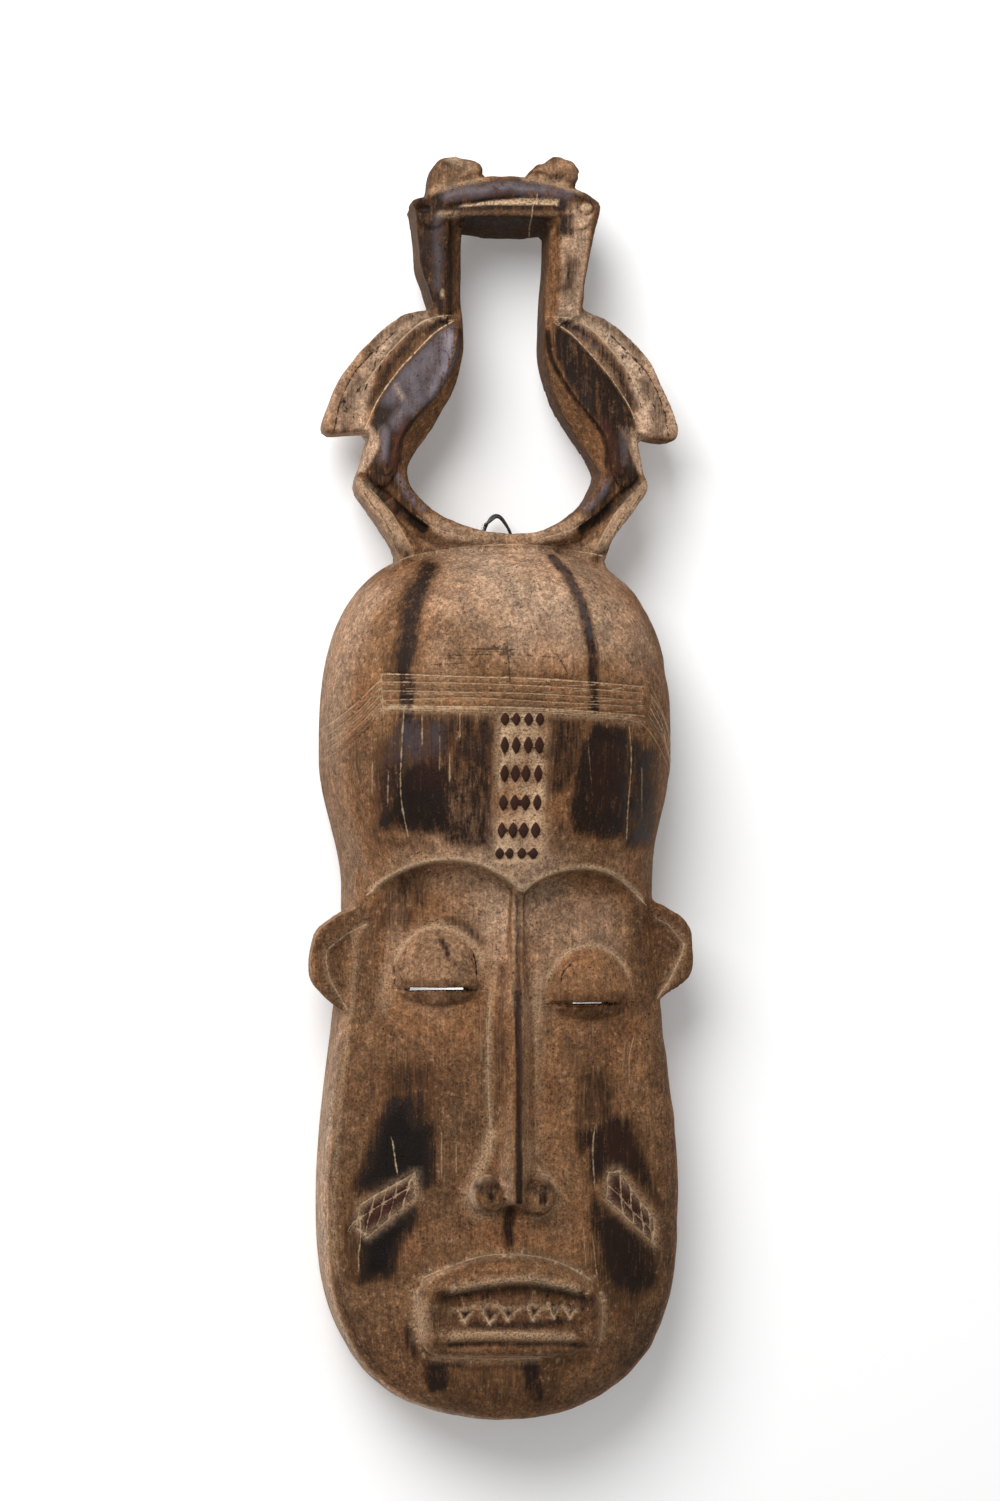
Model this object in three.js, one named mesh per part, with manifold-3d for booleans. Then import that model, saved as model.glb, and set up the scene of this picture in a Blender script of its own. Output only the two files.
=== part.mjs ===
// Ritual mask: a long carved wooden face under a crest of two facing birds whose beaks are joined.
// Millimetres. The mask lies on its back rim at z = 0, +Z comes out of the face and +Y runs up to
// the birds. The origin is at the middle of the mask's length and width, on that rim.
import * as THREE from 'three';
import { mergeVertices } from 'three/addons/utils/BufferGeometryUtils.js';
import Module from 'manifold-3d';

const wasm = await Module();
wasm.setup();

// Head: places along Y, half widths and heights above the rim
const HEAD_TOP = 102;
const CHIN = -264;
const FOREHEAD_WIDE_AT = 12;
const WAIST_AT = -43;
const CHEEKS_WIDE_AT = -175;
const FOREHEAD_HALF = 74;
const WAIST_HALF = 64.5;
const CHEEK_HALF = 75.6;
const FOREHEAD_HIGH_AT = 25;
const FOREHEAD_HIGH = 86;
const BROW_DROP = 13;
const FACE_EDGE = 47;
const FACE_CROWN = 14;
const FOREHEAD_ROUND = 2.8;
const FACE_ROUND = 8;
const TOP_ROUND = 2.9;
const TOP_FALL = 2.8;
const CHIN_ROUND = 2.6;
const CHIN_FALL = 7;
const HEAD_GRID = [25, 24];

// Hollow behind the face, as a share of the head's width, length and height
const HOLLOW = [0.83, 0.93, 0.8];

// Brow arches: the middle point, the two crowns and the two ends, as x and y
const BROW_POINT = [3.5, -42];
const BROW_CROWNS = [[-29, -29.5], [29, -33]];
const BROW_ENDS = [[-63, -52], [62, -53]];

// Nose
const NOSE_X = 2;
const NOSE_TOP = -44;
const NOSE_BOTTOM = -170;
const NOSE_RISE = [4, 15];
const RIDGE_WIDTH = 4.4;
const NOSE_BASE = [9, 21];
const NOSTRILS = [[-9.4, -167], [11.8, -168.5]];
const NOSTRIL_RADIUS = 7;
const NOSTRIL_PIT = 2.2;

// Eyes: the middle of each slit, half its cut length and its height
const EYES = [
  { x: -29.2, y: -82.5, slit: 23.4, open: 1.5, incised: 35, lidAbove: 27 },
  { x: 33.6, y: -88.8, slit: 15.3, open: 0.8, incised: 31, lidAbove: 25 },
];
const EYE_HALF = 20.5;
const LID_BELOW = 9.5;
const EYE_RISE = 9;

// Mouth
const MOUTH = { half: 38, top: -191, shoulder: -210, bottom: -233, rise: 8 };
const MOUTH_RECESS = { half: 33, top: -198.5, corner: -205, bottom: -221.5, depth: 4 };
const LIP_GROOVE = { half: 27, y: -227.5, height: 1.6, depth: 2.4 };
const TEETH = { count: 7, from: -25, to: 27, top: -208, tip: -217, rise: 2.4 };

// Ears
const EAR = { root: 58, reach: 80.9, top: -50, bottom: -94, back: 24, front: 43, rim: 4.5, dish: 3.5 };

// Stud band on the forehead
const STUDS = { rows: 6, columns: 4, top: 28, pitchY: 11.1, left: -4.7, pitchX: 4.75, lean: -1.7 };
const STUD = { width: 3.4, length: 6.6, rise: 1.3, ground: 0.9, margin: 2.2 };

// Scar patches on the cheeks: the middle, the turn in degrees and the lozenges
const SCARS = [{ x: -50, y: -174, turn: 32 }, { x: 51.5, y: -174.5, turn: -42 }];
const SCAR = { rows: 2, columns: 4, pitch: 6.4, rowPitch: 7, size: 5.6, rise: 1.2, ground: 1.2 };

// Incised lines over the forehead: where the first and the last of them pass, as x and y
const LINE_COUNT = 5;
const LINE_WIDTH = 1.1;
const LINE_DEPTH = 0.9;
const FIRST_LINES = [[[-52, 46], [0, 45], [55, 41.6]], [[-51, 45], [-74, 20.7]], [[57, 41], [75, 18]]];
const LAST_LINES = [[[-52, 32.5], [0, 32], [55, 30]], [[-51, 33], [-74, 12]], [[57, 30], [75, 6]]];

// Birds, given for the right-hand one, as x and y, with the heights of the carving
const SLOT_HALF = 17.6;
const BIRD_BACK = 14;
const BIRD_FRONT = 45;
const NECK = { outerTop: 38, outerFoot: 31.5, top: 243, foot: 198 };
const BEAK = { reach: 39, top: 255.4, end: 241, bottom: 230 };
const CROWN = { x: 20.6, y: 253, halfWidth: 11.2, top: 264, foot: 242, back: 19, front: 40 };
const WING = { back: 17, front: 41, shoulder: [28, 200], tip: [74.6, 149.5] };
const LEG = { back: 15, front: 41 };
const BASE_BACK = 13;
const BIRD_EYE = { x: 34, y: 241, radius: 3.2 };
const CUT = { width: 1.3, depth: 1.1 };
const BEAK_CUT = [[-24, 241], [0, 243.8], [23, 243.5]];
const BREAST_CUT = [[23, 194], [36, 181], [50, 160]];
const WING_CUTS = [[[33, 195], [49, 182], [61, 164]], [[64, 172], [70, 158], [71.5, 151]]];

// Hanging wire
const WIRE_RADIUS = 0.6;
const WIRE = { left: -5.2, right: 7.4, top: 115.4, inside: 82, z: 8.2, strandGap: 1.7 };
const HOLE = { wide: 1.7, high: 2.6, from: 78, to: 108 };

const WOOD = new THREE.MeshStandardMaterial({ name: 'wood', color: '#7d6147', roughness: 0.62 });
const COATED_WIRE = new THREE.MeshStandardMaterial({ name: 'wire', color: '#1c1c1e', roughness: 0.35 });

// Solids and joins
function solid(geometry) {
  const bare = geometry.index ? geometry.toNonIndexed() : geometry.clone();
  bare.deleteAttribute('normal');
  bare.deleteAttribute('uv');
  const merged = mergeVertices(bare, 1e-4);
  return new wasm.Manifold(new wasm.Mesh({
    numProp: 3,
    vertProperties: new Float32Array(merged.attributes.position.array),
    triVerts: new Uint32Array(merged.index.array),
  }));
}

function geometryOf(body) {
  const mesh = body.getMesh();
  const geometry = new THREE.BufferGeometry();
  geometry.setAttribute('position', new THREE.BufferAttribute(new Float32Array(mesh.vertProperties), 3));
  geometry.setIndex(new THREE.BufferAttribute(new Uint32Array(mesh.triVerts), 1));
  geometry.computeVertexNormals();
  return geometry;
}

const joined = (bodies) => bodies.reduce((whole, body) => whole.add(body));

function prism(shape, back, front, bevel = 0, curveSegments = 6) {
  const geometry = new THREE.ExtrudeGeometry(shape, {
    depth: front - back - 2 * bevel,
    bevelEnabled: bevel > 0,
    bevelThickness: bevel,
    bevelSize: bevel,
    bevelOffset: -bevel,
    bevelSegments: 1,
    curveSegments,
  });
  return solid(geometry.translate(0, 0, back + bevel));
}

function box(x, y, z, wide, long, high) {
  return solid(new THREE.BoxGeometry(wide, long, high).translate(x, y, z));
}

function ball(x, y, z, rx, ry, rz, around = 16, along = 10) {
  const geometry = new THREE.SphereGeometry(1, around, along).rotateX(Math.PI / 2);
  return solid(geometry.scale(rx, ry, rz).translate(x, y, z));
}

const points = (list, side = 1) => list.map(([x, y]) => new THREE.Vector2(side * x, y));

// A stroke of even width along a smooth route
function stroke(route, width, steps) {
  const curve = new THREE.SplineCurve(points(route));
  const edge = (reach) => curve.getPoints(steps).map((place, i) => {
    const along = curve.getTangent(i / steps);
    return new THREE.Vector2(place.x - along.y * reach, place.y + along.x * reach);
  });
  return new THREE.Shape([...edge(width / 2), ...edge(-width / 2).reverse()]);
}

// Head: the half width and the two heights over it
const capped = (t, roundness) => (1 - Math.min(Math.abs(t), 1) ** roundness) ** (1 / roundness);
const ease = THREE.MathUtils.smoothstep;

function headHalf(y) {
  if (y > FOREHEAD_WIDE_AT) {
    return FOREHEAD_HALF * capped((y - FOREHEAD_WIDE_AT) / (HEAD_TOP - FOREHEAD_WIDE_AT), TOP_ROUND);
  }
  if (y > WAIST_AT) {
    return WAIST_HALF + (FOREHEAD_HALF - WAIST_HALF) * ease(y, WAIST_AT, FOREHEAD_WIDE_AT);
  }
  if (y > CHEEKS_WIDE_AT) {
    return CHEEK_HALF - (CHEEK_HALF - WAIST_HALF) * ease(y, CHEEKS_WIDE_AT, WAIST_AT);
  }
  return CHEEK_HALF * capped((CHEEKS_WIDE_AT - y) / (CHEEKS_WIDE_AT - CHIN), CHIN_ROUND);
}

const belowCheeks = (y) => Math.max(CHEEKS_WIDE_AT - y, 0) / (CHEEKS_WIDE_AT - CHIN);
const chinEnd = (y) => capped(belowCheeks(y), CHIN_FALL);

function foreheadHeight(across, y) {
  const fall = Math.min((FOREHEAD_HIGH_AT - y) / (FOREHEAD_HIGH_AT - BROW_POINT[1]), 1.2);
  const rise = y > FOREHEAD_HIGH_AT
    ? FOREHEAD_HIGH * capped((y - FOREHEAD_HIGH_AT) / (HEAD_TOP - FOREHEAD_HIGH_AT), TOP_FALL)
    : FOREHEAD_HIGH - BROW_DROP * fall * fall;
  return rise * capped(across, FOREHEAD_ROUND) * chinEnd(y);
}

function faceHeight(across, y) {
  const roundness = THREE.MathUtils.lerp(FACE_ROUND, FOREHEAD_ROUND, ease(y, -70, 5));
  const top = y > 0 ? capped(y / HEAD_TOP, 2.4) : 1;
  return (FACE_EDGE + FACE_CROWN * (1 - across * across)) * capped(across, roundness) * chinEnd(y) * top;
}

const onForehead = (x, y) => foreheadHeight(x / headHalf(y), y);
const onFace = (x, y) => faceHeight(x / headHalf(y), y);

// A closed form with a flat back, shaped over a sphere's grid
function domed(height, around, along) {
  const frontShare = 0.8;
  const middle = (HEAD_TOP + CHIN) / 2;
  const geometry = new THREE.SphereGeometry(1, around, along);
  const place = geometry.attributes.position;
  const grid = geometry.attributes.uv;
  for (let i = 0; i < place.count; i += 1) {
    const turn = grid.getX(i) / frontShare;
    const y = middle + (HEAD_TOP - middle) * Math.cos(Math.PI * (1 - grid.getY(i)));
    const front = turn <= 1;
    const back = (turn - 1) / (1 / frontShare - 1);
    const across = front ? -Math.cos(Math.PI * turn) : 1 - 2 * back;
    place.setXYZ(i, across * headHalf(y), y, front ? height(across, y) : 0);
  }
  return geometry;
}

const foreheadForm = () => domed(foreheadHeight, ...HEAD_GRID);

// The face, with the higher forehead over it down to the two brow arches
function head() {
  const clear = 1.2 * FOREHEAD_HALF;
  const [[leftX, leftY], [rightX, rightY]] = BROW_ENDS;
  const arches = new THREE.Shape();
  arches.moveTo(-clear, leftY - 8);
  arches.lineTo(leftX, leftY);
  arches.quadraticCurveTo(-47, -31, ...BROW_CROWNS[0]);
  arches.quadraticCurveTo(-12, -29, ...BROW_POINT);
  arches.quadraticCurveTo(12, -34, ...BROW_CROWNS[1]);
  arches.quadraticCurveTo(47, -33, rightX, rightY);
  arches.lineTo(clear, rightY - 8);
  arches.lineTo(clear, 1.2 * HEAD_TOP);
  arches.lineTo(-clear, 1.2 * HEAD_TOP);
  const low = solid(domed(faceHeight, ...HEAD_GRID));
  return low.add(solid(foreheadForm()).intersect(prism(arches, -5, FOREHEAD_HIGH + 5)));
}

const sunkForehead = (depth) => solid(foreheadForm().translate(0, 0, -depth));

function hollow() {
  const over = (across, y) => THREE.MathUtils.lerp(faceHeight(across, y), foreheadHeight(across, y),
    ease(y, WAIST_AT - 20, WAIST_AT + 25));
  const form = domed(over, 20, 12);
  const middle = (HEAD_TOP + CHIN) / 2;
  return solid(form.translate(0, -middle, 0).scale(...HOLLOW).translate(0, middle, -0.5));
}

// Nose with its flat ridge and the two nostrils
function nose() {
  const geometry = new THREE.BoxGeometry(1, 1, 1, 1, 6, 1);
  const place = geometry.attributes.position;
  for (let i = 0; i < place.count; i += 1) {
    const down = 0.5 - place.getY(i);
    const y = THREE.MathUtils.lerp(NOSE_TOP, NOSE_BOTTOM, down);
    const front = place.getZ(i) > 0;
    const width = front ? RIDGE_WIDTH : THREE.MathUtils.lerp(NOSE_BASE[0], NOSE_BASE[1], down);
    const rise = THREE.MathUtils.lerp(NOSE_RISE[0], NOSE_RISE[1], down ** 0.7);
    const floor = onFace(NOSE_X, y);
    place.setXYZ(i, NOSE_X + place.getX(i) * width, y, front ? floor + rise : floor - 6);
  }
  const parts = [solid(geometry)];
  for (const [x, y] of NOSTRILS) {
    const z = onFace(x, y) + 6;
    const wing = ball(x, y, z, NOSTRIL_RADIUS, NOSTRIL_RADIUS, NOSTRIL_RADIUS + 2, 12, 8);
    const pit = ball(x, y - 4.5, z + 5, NOSTRIL_PIT, NOSTRIL_PIT, NOSTRIL_PIT * 2, 8, 6);
    parts.push(wing.subtract(pit));
  }
  return joined(parts);
}

function eyes(mask) {
  let carved = mask;
  for (const { x, y, slit, open, incised, lidAbove } of EYES) {
    const z = onFace(x, y);
    const upper = ball(x, y, z - 5, EYE_HALF, lidAbove, EYE_RISE + 5, 18, 10);
    const lower = ball(x, y, z - 5, EYE_HALF, LID_BELOW, EYE_RISE + 2, 18, 10);
    const above = box(x, y + lidAbove / 2 + 0.5, z + 10, 60, lidAbove + 1, 34);
    const below = box(x, y - LID_BELOW / 2, z + 10, 60, LID_BELOW + 1, 34);
    carved = carved.add(upper.intersect(above)).add(lower.intersect(below));
    carved = carved.subtract(box(x, y - 0.4, z + EYE_RISE + 1, incised, 2, 6));
    carved = carved.subtract(box(x, y, z, slit, open, 80));
  }
  return carved;
}

// Mouth: a raised block with arched lips, a row of pointed teeth between them
function arched(half, top, shoulder, bottom) {
  const shape = new THREE.Shape();
  shape.moveTo(-half, bottom + 3);
  shape.lineTo(-half, shoulder);
  shape.quadraticCurveTo(-half * 0.55, top, 0, top);
  shape.quadraticCurveTo(half * 0.55, top, half, shoulder);
  shape.lineTo(half, bottom + 3);
  shape.lineTo(half - 4, bottom);
  shape.lineTo(4 - half, bottom);
  return shape;
}

function mouth(mask) {
  const base = onFace(0, (MOUTH.top + MOUTH.bottom) / 2);
  const front = base + MOUTH.rise;
  const outline = arched(MOUTH.half, MOUTH.top, MOUTH.shoulder, MOUTH.bottom);
  const block = prism(outline, base - 15, front, 3);
  const recess = MOUTH_RECESS;
  const between = arched(recess.half, recess.top, recess.corner, recess.bottom);
  let carved = mask.add(block).subtract(prism(between, front - recess.depth, front + 5));
  const groove = box(0, LIP_GROOVE.y, front, 2 * LIP_GROOVE.half, LIP_GROOVE.height, 2 * LIP_GROOVE.depth);
  carved = carved.subtract(groove);
  const pitch = (TEETH.to - TEETH.from) / TEETH.count;
  for (let i = 0; i < TEETH.count; i += 1) {
    const x = TEETH.from + (i + 0.5) * pitch;
    const tooth = new THREE.Shape(points([
      [x - pitch * 0.42, TEETH.top], [x, TEETH.tip], [x + pitch * 0.42, TEETH.top],
    ]));
    carved = carved.add(prism(tooth, front - recess.depth - 1, front - recess.depth + TEETH.rise));
  }
  return carved;
}

// Ears: a rounded plate on each side, dished on its front
function ear(side) {
  const outline = (inset) => {
    const shape = new THREE.Shape();
    const middle = (EAR.top + EAR.bottom) / 2;
    const reach = EAR.reach - inset;
    shape.moveTo(side * EAR.root, EAR.top - 2 * inset);
    shape.bezierCurveTo(side * (reach - 6), EAR.top - 1.6 * inset, side * reach, middle + 12,
      side * reach, middle);
    shape.bezierCurveTo(side * reach, middle - 12, side * (reach - 10), EAR.bottom + 6 + inset,
      side * EAR.root, EAR.bottom + 2 * inset);
    return shape;
  };
  const plate = prism(outline(0), EAR.back, EAR.front, 2, 8);
  return plate.subtract(prism(outline(EAR.rim), EAR.front - EAR.dish, EAR.front + 5, 0, 8));
}

// A lozenge that stands out of z = 0, with a root that sinks into the wood below it
function lozenge(width, length, rise, root = 3) {
  const geometry = new THREE.CylinderGeometry(0.36, 0.5, 1, 4).rotateX(Math.PI / 2);
  return geometry.scale(width, length, rise + root).translate(0, 0, (rise - root) / 2);
}

// Stud band: lozenges standing in a sunk ground
function studBand(mask) {
  const height = (STUDS.rows - 1) * STUDS.pitchY;
  const middle = STUDS.left + 1.5 * STUDS.pitchX + STUDS.lean / 2;
  const field = box(middle, STUDS.top - height / 2, FOREHEAD_HIGH,
    (STUDS.columns - 1) * STUDS.pitchX + 2 * STUD.margin, height + STUD.length + STUD.margin, 60);
  let carved = mask.subtract(field.subtract(sunkForehead(STUD.ground)));
  for (let row = 0; row < STUDS.rows; row += 1) {
    for (let column = 0; column < STUDS.columns; column += 1) {
      const x = STUDS.left + column * STUDS.pitchX + (STUDS.lean * row) / (STUDS.rows - 1);
      const y = STUDS.top - row * STUDS.pitchY;
      const z = onForehead(x, y) - STUD.ground;
      carved = carved.add(solid(lozenge(STUD.width, STUD.length, STUD.rise).translate(x, y, z)));
    }
  }
  return carved;
}

// Incised lines: five across the forehead, and five that fall away on each side
function foreheadLines(mask) {
  const sunk = sunkForehead(LINE_DEPTH);
  const strokes = [];
  FIRST_LINES.forEach((first, group) => {
    for (let i = 0; i < LINE_COUNT; i += 1) {
      const share = i / (LINE_COUNT - 1);
      const route = first.map(([x, y], k) => [
        THREE.MathUtils.lerp(x, LAST_LINES[group][k][0], share),
        THREE.MathUtils.lerp(y, LAST_LINES[group][k][1], share),
      ]);
      strokes.push(prism(stroke(route, LINE_WIDTH, route.length - 1), 1, FOREHEAD_HIGH + 2));
    }
  });
  return strokes.reduce((carved, line) => carved.subtract(line.subtract(sunk)), mask);
}

// Scar patches: two rows of lozenges on each cheek, in a shallow sunk ground
function scars(mask) {
  let carved = mask;
  for (const { x, y, turn } of SCARS) {
    const angle = THREE.MathUtils.degToRad(turn);
    const z = onFace(x, y);
    const slope = Math.atan2(onFace(x + 5, y) - onFace(x - 5, y), 10);
    const place = (geometry) => geometry.rotateZ(angle).rotateY(-slope).translate(x, y, z);
    const ground = new THREE.BoxGeometry(SCAR.columns * SCAR.pitch + 1, SCAR.rows * SCAR.rowPitch + 1, 6);
    carved = carved.subtract(solid(place(ground.translate(0, 0, 3 - SCAR.ground))));
    for (let row = 0; row < SCAR.rows; row += 1) {
      for (let column = 0; column < SCAR.columns; column += 1) {
        const alongPatch = (column - (SCAR.columns - 1) / 2) * SCAR.pitch;
        const acrossPatch = (row - (SCAR.rows - 1) / 2) * SCAR.rowPitch;
        const scar = lozenge(SCAR.size, SCAR.size + 1, SCAR.rise);
        carved = carved.add(solid(place(scar.translate(alongPatch, acrossPatch, -SCAR.ground))));
      }
    }
  }
  return carved;
}

// Crest: one bird on each side, their beaks joined, standing on a crescent base
function bird(side) {
  const path = (list) => new THREE.Shape(points(list, side));
  const neck = path([
    [SLOT_HALF, NECK.top], [SLOT_HALF, NECK.foot - 12], [NECK.outerFoot, NECK.foot - 6],
    [NECK.outerFoot, NECK.foot + 3], [NECK.outerTop - 4, NECK.foot + 18], [NECK.outerTop, NECK.top],
  ]);
  const wing = new THREE.Shape();
  wing.moveTo(side * WING.shoulder[0], WING.shoulder[1]);
  wing.bezierCurveTo(side * 50, 197, side * 70, 172, side * WING.tip[0], WING.tip[1]);
  wing.lineTo(side * 54, 147.5);
  wing.lineTo(side * 44, 160);
  wing.lineTo(side * 22, 190);
  const breast = new THREE.Shape();
  breast.moveTo(side * SLOT_HALF, 203);
  breast.lineTo(side * 17, 183);
  breast.bezierCurveTo(side * 18, 168, side * 29, 153, side * 40, 134);
  breast.lineTo(side * 58, 136);
  breast.lineTo(side * 56, 150);
  breast.bezierCurveTo(side * 46, 174, side * 38, 192, side * 30, 203);
  const leg = new THREE.Shape();
  leg.moveTo(side * 38, 140);
  leg.lineTo(side * 40, 131);
  leg.bezierCurveTo(side * 38, 118, side * 22, 110, side * 8, 106);
  leg.lineTo(side * 10, 92);
  leg.lineTo(side * 42, 92);
  leg.lineTo(side * 61.2, 125);
  leg.lineTo(side * 57, 142);
  return joined([
    prism(neck, BIRD_BACK, BIRD_FRONT - 1, 3.5),
    prism(wing, WING.back, WING.front, 3, 8),
    prism(breast, BIRD_BACK, BIRD_FRONT, 4, 8),
    prism(leg, LEG.back, LEG.front, 3.5, 8),
  ]);
}

function crest() {
  const beak = new THREE.Shape();
  beak.moveTo(-BEAK.reach, BEAK.end);
  beak.quadraticCurveTo(-BEAK.reach / 2, BEAK.top, 0, BEAK.top);
  beak.quadraticCurveTo(BEAK.reach / 2, BEAK.top, BEAK.reach + 1, BEAK.end);
  beak.lineTo(BEAK.reach - 3, BEAK.bottom);
  beak.lineTo(3 - BEAK.reach, BEAK.bottom);
  const base = new THREE.Shape();
  base.moveTo(-44, 90);
  base.lineTo(-40, 122);
  base.quadraticCurveTo(-20, 106, 0, 106);
  base.quadraticCurveTo(20, 106, 40, 122);
  base.lineTo(44, 90);
  const parts = [
    prism(beak, BIRD_BACK - 2, BIRD_FRONT + 2, 5, 8),
    prism(base, BASE_BACK, LEG.front - 1, 2, 8),
    bird(-1),
    bird(1),
  ];
  for (const side of [-1, 1]) {
    const lump = new THREE.Shape();
    lump.moveTo(side * CROWN.x + CROWN.halfWidth, CROWN.foot);
    lump.absellipse(side * CROWN.x, CROWN.y, CROWN.halfWidth, CROWN.top - CROWN.y, 0, Math.PI);
    lump.lineTo(side * CROWN.x - CROWN.halfWidth, CROWN.foot);
    parts.push(prism(lump, CROWN.back, CROWN.front, 3));
    const { x, y, radius } = BIRD_EYE;
    parts.push(ball(side * x, y, BIRD_FRONT + 2, radius, radius, radius, 8, 6));
  }
  return crestCuts(joined(parts));
}

// Shallow cuts: the mouth line along the joined beaks and the feather lines of the wings
function crestCuts(carved) {
  const cut = (route, front) => prism(stroke(route, CUT.width, 4), front - CUT.depth, front + 1);
  const cuts = [cut(BEAK_CUT, BIRD_FRONT + 2)];
  for (const side of [-1, 1]) {
    const mirrored = (route) => route.map(([x, y]) => [side * x, y]);
    cuts.push(cut(mirrored(BREAST_CUT), BIRD_FRONT));
    WING_CUTS.forEach((route) => cuts.push(cut(mirrored(route), WING.front)));
  }
  return carved.subtract(joined(cuts));
}

// Hanging wire: two turns of one wire through both holes
function wireGeometry() {
  const { left, right, top, inside, z, strandGap } = WIRE;
  const middle = (left + right) / 2;
  const turn = (offset) => [
    [left, inside, z + offset], [left, inside + 12, z + offset], [left, inside + 24, z + offset],
    [middle - 3, top - 2, z + offset], [middle, top, z + offset], [middle + 3, top - 2, z + offset],
    [right, inside + 24, z + offset], [right, inside + 12, z + offset], [right, inside, z + offset],
  ];
  const back = [[middle + 3, inside - 4, z + strandGap / 2], [middle - 3, inside - 4, z + strandGap]];
  const route = [...turn(0), ...back, ...turn(strandGap)].map((p) => new THREE.Vector3(...p));
  const curve = new THREE.CatmullRomCurve3(route, false, 'centripetal');
  const section = new THREE.Shape().absarc(0, 0, WIRE_RADIUS, 0, 2 * Math.PI);
  return new THREE.ExtrudeGeometry(section, {
    steps: 40, extrudePath: curve, bevelEnabled: false, curveSegments: 4,
  });
}

function wireHoles(mask) {
  let carved = mask;
  for (const x of [WIRE.left, WIRE.right]) {
    const hole = new THREE.CylinderGeometry(1, 1, HOLE.to - HOLE.from, 10);
    hole.scale(HOLE.wide, 1, HOLE.high);
    hole.translate(x, (HOLE.to + HOLE.from) / 2, WIRE.z + WIRE.strandGap / 2);
    carved = carved.subtract(solid(hole));
  }
  return carved;
}

let carving = joined([head(), nose(), ear(-1), ear(1), crest()]);
carving = foreheadLines(carving);
carving = studBand(carving);
carving = scars(carving);
carving = mouth(carving);
carving = carving.subtract(hollow());
carving = eyes(carving);
carving = wireHoles(carving);

const mask = new THREE.Mesh(geometryOf(carving), WOOD);
mask.name = 'mask';

const wire = new THREE.Mesh(wireGeometry(), COATED_WIRE);
wire.name = 'hanging_wire';

const ritualMask = new THREE.Group();
ritualMask.add(mask, wire);

export default ritualMask;
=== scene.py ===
# A ritual mask: a long carved wooden face under two facing birds, lying on its back rim.
# Metres in the scene; the carving is worked out in millimetres, as it was measured.
import math

import bpy
import numpy as np
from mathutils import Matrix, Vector


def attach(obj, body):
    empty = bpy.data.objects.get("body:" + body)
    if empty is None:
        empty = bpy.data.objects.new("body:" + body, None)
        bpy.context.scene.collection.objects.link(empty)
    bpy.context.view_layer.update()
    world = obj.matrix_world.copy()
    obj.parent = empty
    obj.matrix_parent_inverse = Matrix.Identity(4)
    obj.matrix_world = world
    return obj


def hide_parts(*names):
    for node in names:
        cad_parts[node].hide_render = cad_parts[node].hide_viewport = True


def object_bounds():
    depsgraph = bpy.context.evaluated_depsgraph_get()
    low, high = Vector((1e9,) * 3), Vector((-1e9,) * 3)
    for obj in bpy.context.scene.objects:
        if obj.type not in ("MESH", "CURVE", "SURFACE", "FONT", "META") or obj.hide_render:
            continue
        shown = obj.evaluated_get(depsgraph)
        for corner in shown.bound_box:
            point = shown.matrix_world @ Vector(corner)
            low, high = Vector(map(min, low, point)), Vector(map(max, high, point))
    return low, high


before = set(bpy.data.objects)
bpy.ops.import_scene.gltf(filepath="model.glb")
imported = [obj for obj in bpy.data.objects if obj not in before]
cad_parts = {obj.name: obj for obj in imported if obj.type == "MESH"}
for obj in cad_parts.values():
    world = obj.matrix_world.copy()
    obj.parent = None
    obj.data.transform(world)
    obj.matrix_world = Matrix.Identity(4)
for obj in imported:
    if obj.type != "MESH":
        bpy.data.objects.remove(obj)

cad_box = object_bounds()
bpy.ops.object.select_all(action="DESELECT")

# Camera
# A long lens looks straight down at the mask, from 7 degrees to the side of its left edge.
# Over the whole mask one picture pixel is 0.42 mm.
VIEW_AIM = Vector((0, 0.0153, 0.030))
VIEW_DISTANCE = 1.6
VIEW_TURN = math.radians(7)
PIXEL = 0.00042
PICTURE_HIGH = 1501
SENSOR = 36


def place_in_scene(name, data):
    """A new object with this data."""
    made = bpy.data.objects.new(name, data)
    bpy.context.scene.collection.objects.link(made)
    return made


camera = place_in_scene("camera", bpy.data.cameras.new("camera"))
camera.data.sensor_width = SENSOR
camera.data.lens = SENSOR * VIEW_DISTANCE / (PICTURE_HIGH * PIXEL)
camera.location = VIEW_AIM + VIEW_DISTANCE * Vector((-math.sin(VIEW_TURN), 0, math.cos(VIEW_TURN)))
camera.rotation_euler = (0, -VIEW_TURN, 0)
bpy.context.scene.camera = camera

# Mask
# One block of a light African hardwood, carved with adze and knife, hollowed behind and worn by
# handling. Wide forms are a field that is negative inside the wood; fine cuts and stains are charts
# over x and y. It is carved in code, because its free forms have no primitive to start from.
MM = 0.001
CHART_STEP = 0.3
chart_x = np.arange(-83.1, 83.2, CHART_STEP)
chart_y = np.arange(-266.1, 266.2, CHART_STEP)
chart_size = (len(chart_y), len(chart_x))
all_x, all_y = np.meshgrid(chart_x, chart_y)
EVERYWHERE = (slice(None), slice(None))


def ease(value, low, high):
    share = np.clip((value - low) / (high - low), 0, 1)
    return share * share * (3 - 2 * share)


def blend(low, high, share):
    return low + (high - low) * share


def nearer(a, b, soft):
    """The lesser of two fields, with a fillet about as wide as soft."""
    overlap = np.maximum(soft - np.abs(a - b), 0)
    return np.minimum(a, b) - overlap * overlap / (4 * np.maximum(soft, 1e-6))


def further(a, b, soft):
    """The greater of two fields, with a rounded edge about as wide as soft."""
    return -nearer(-a, -b, soft)


def points(line, x=0, y=0, side=1):
    """A line's points, mirrored where side is -1 and moved by x and y; it may be text such as "-8,33 13,33"."""
    if isinstance(line, str):
        line = [map(float, pair.split(",")) for pair in line.split()]
    return [(side * u + x, v + y) for u, v in line]


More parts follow.
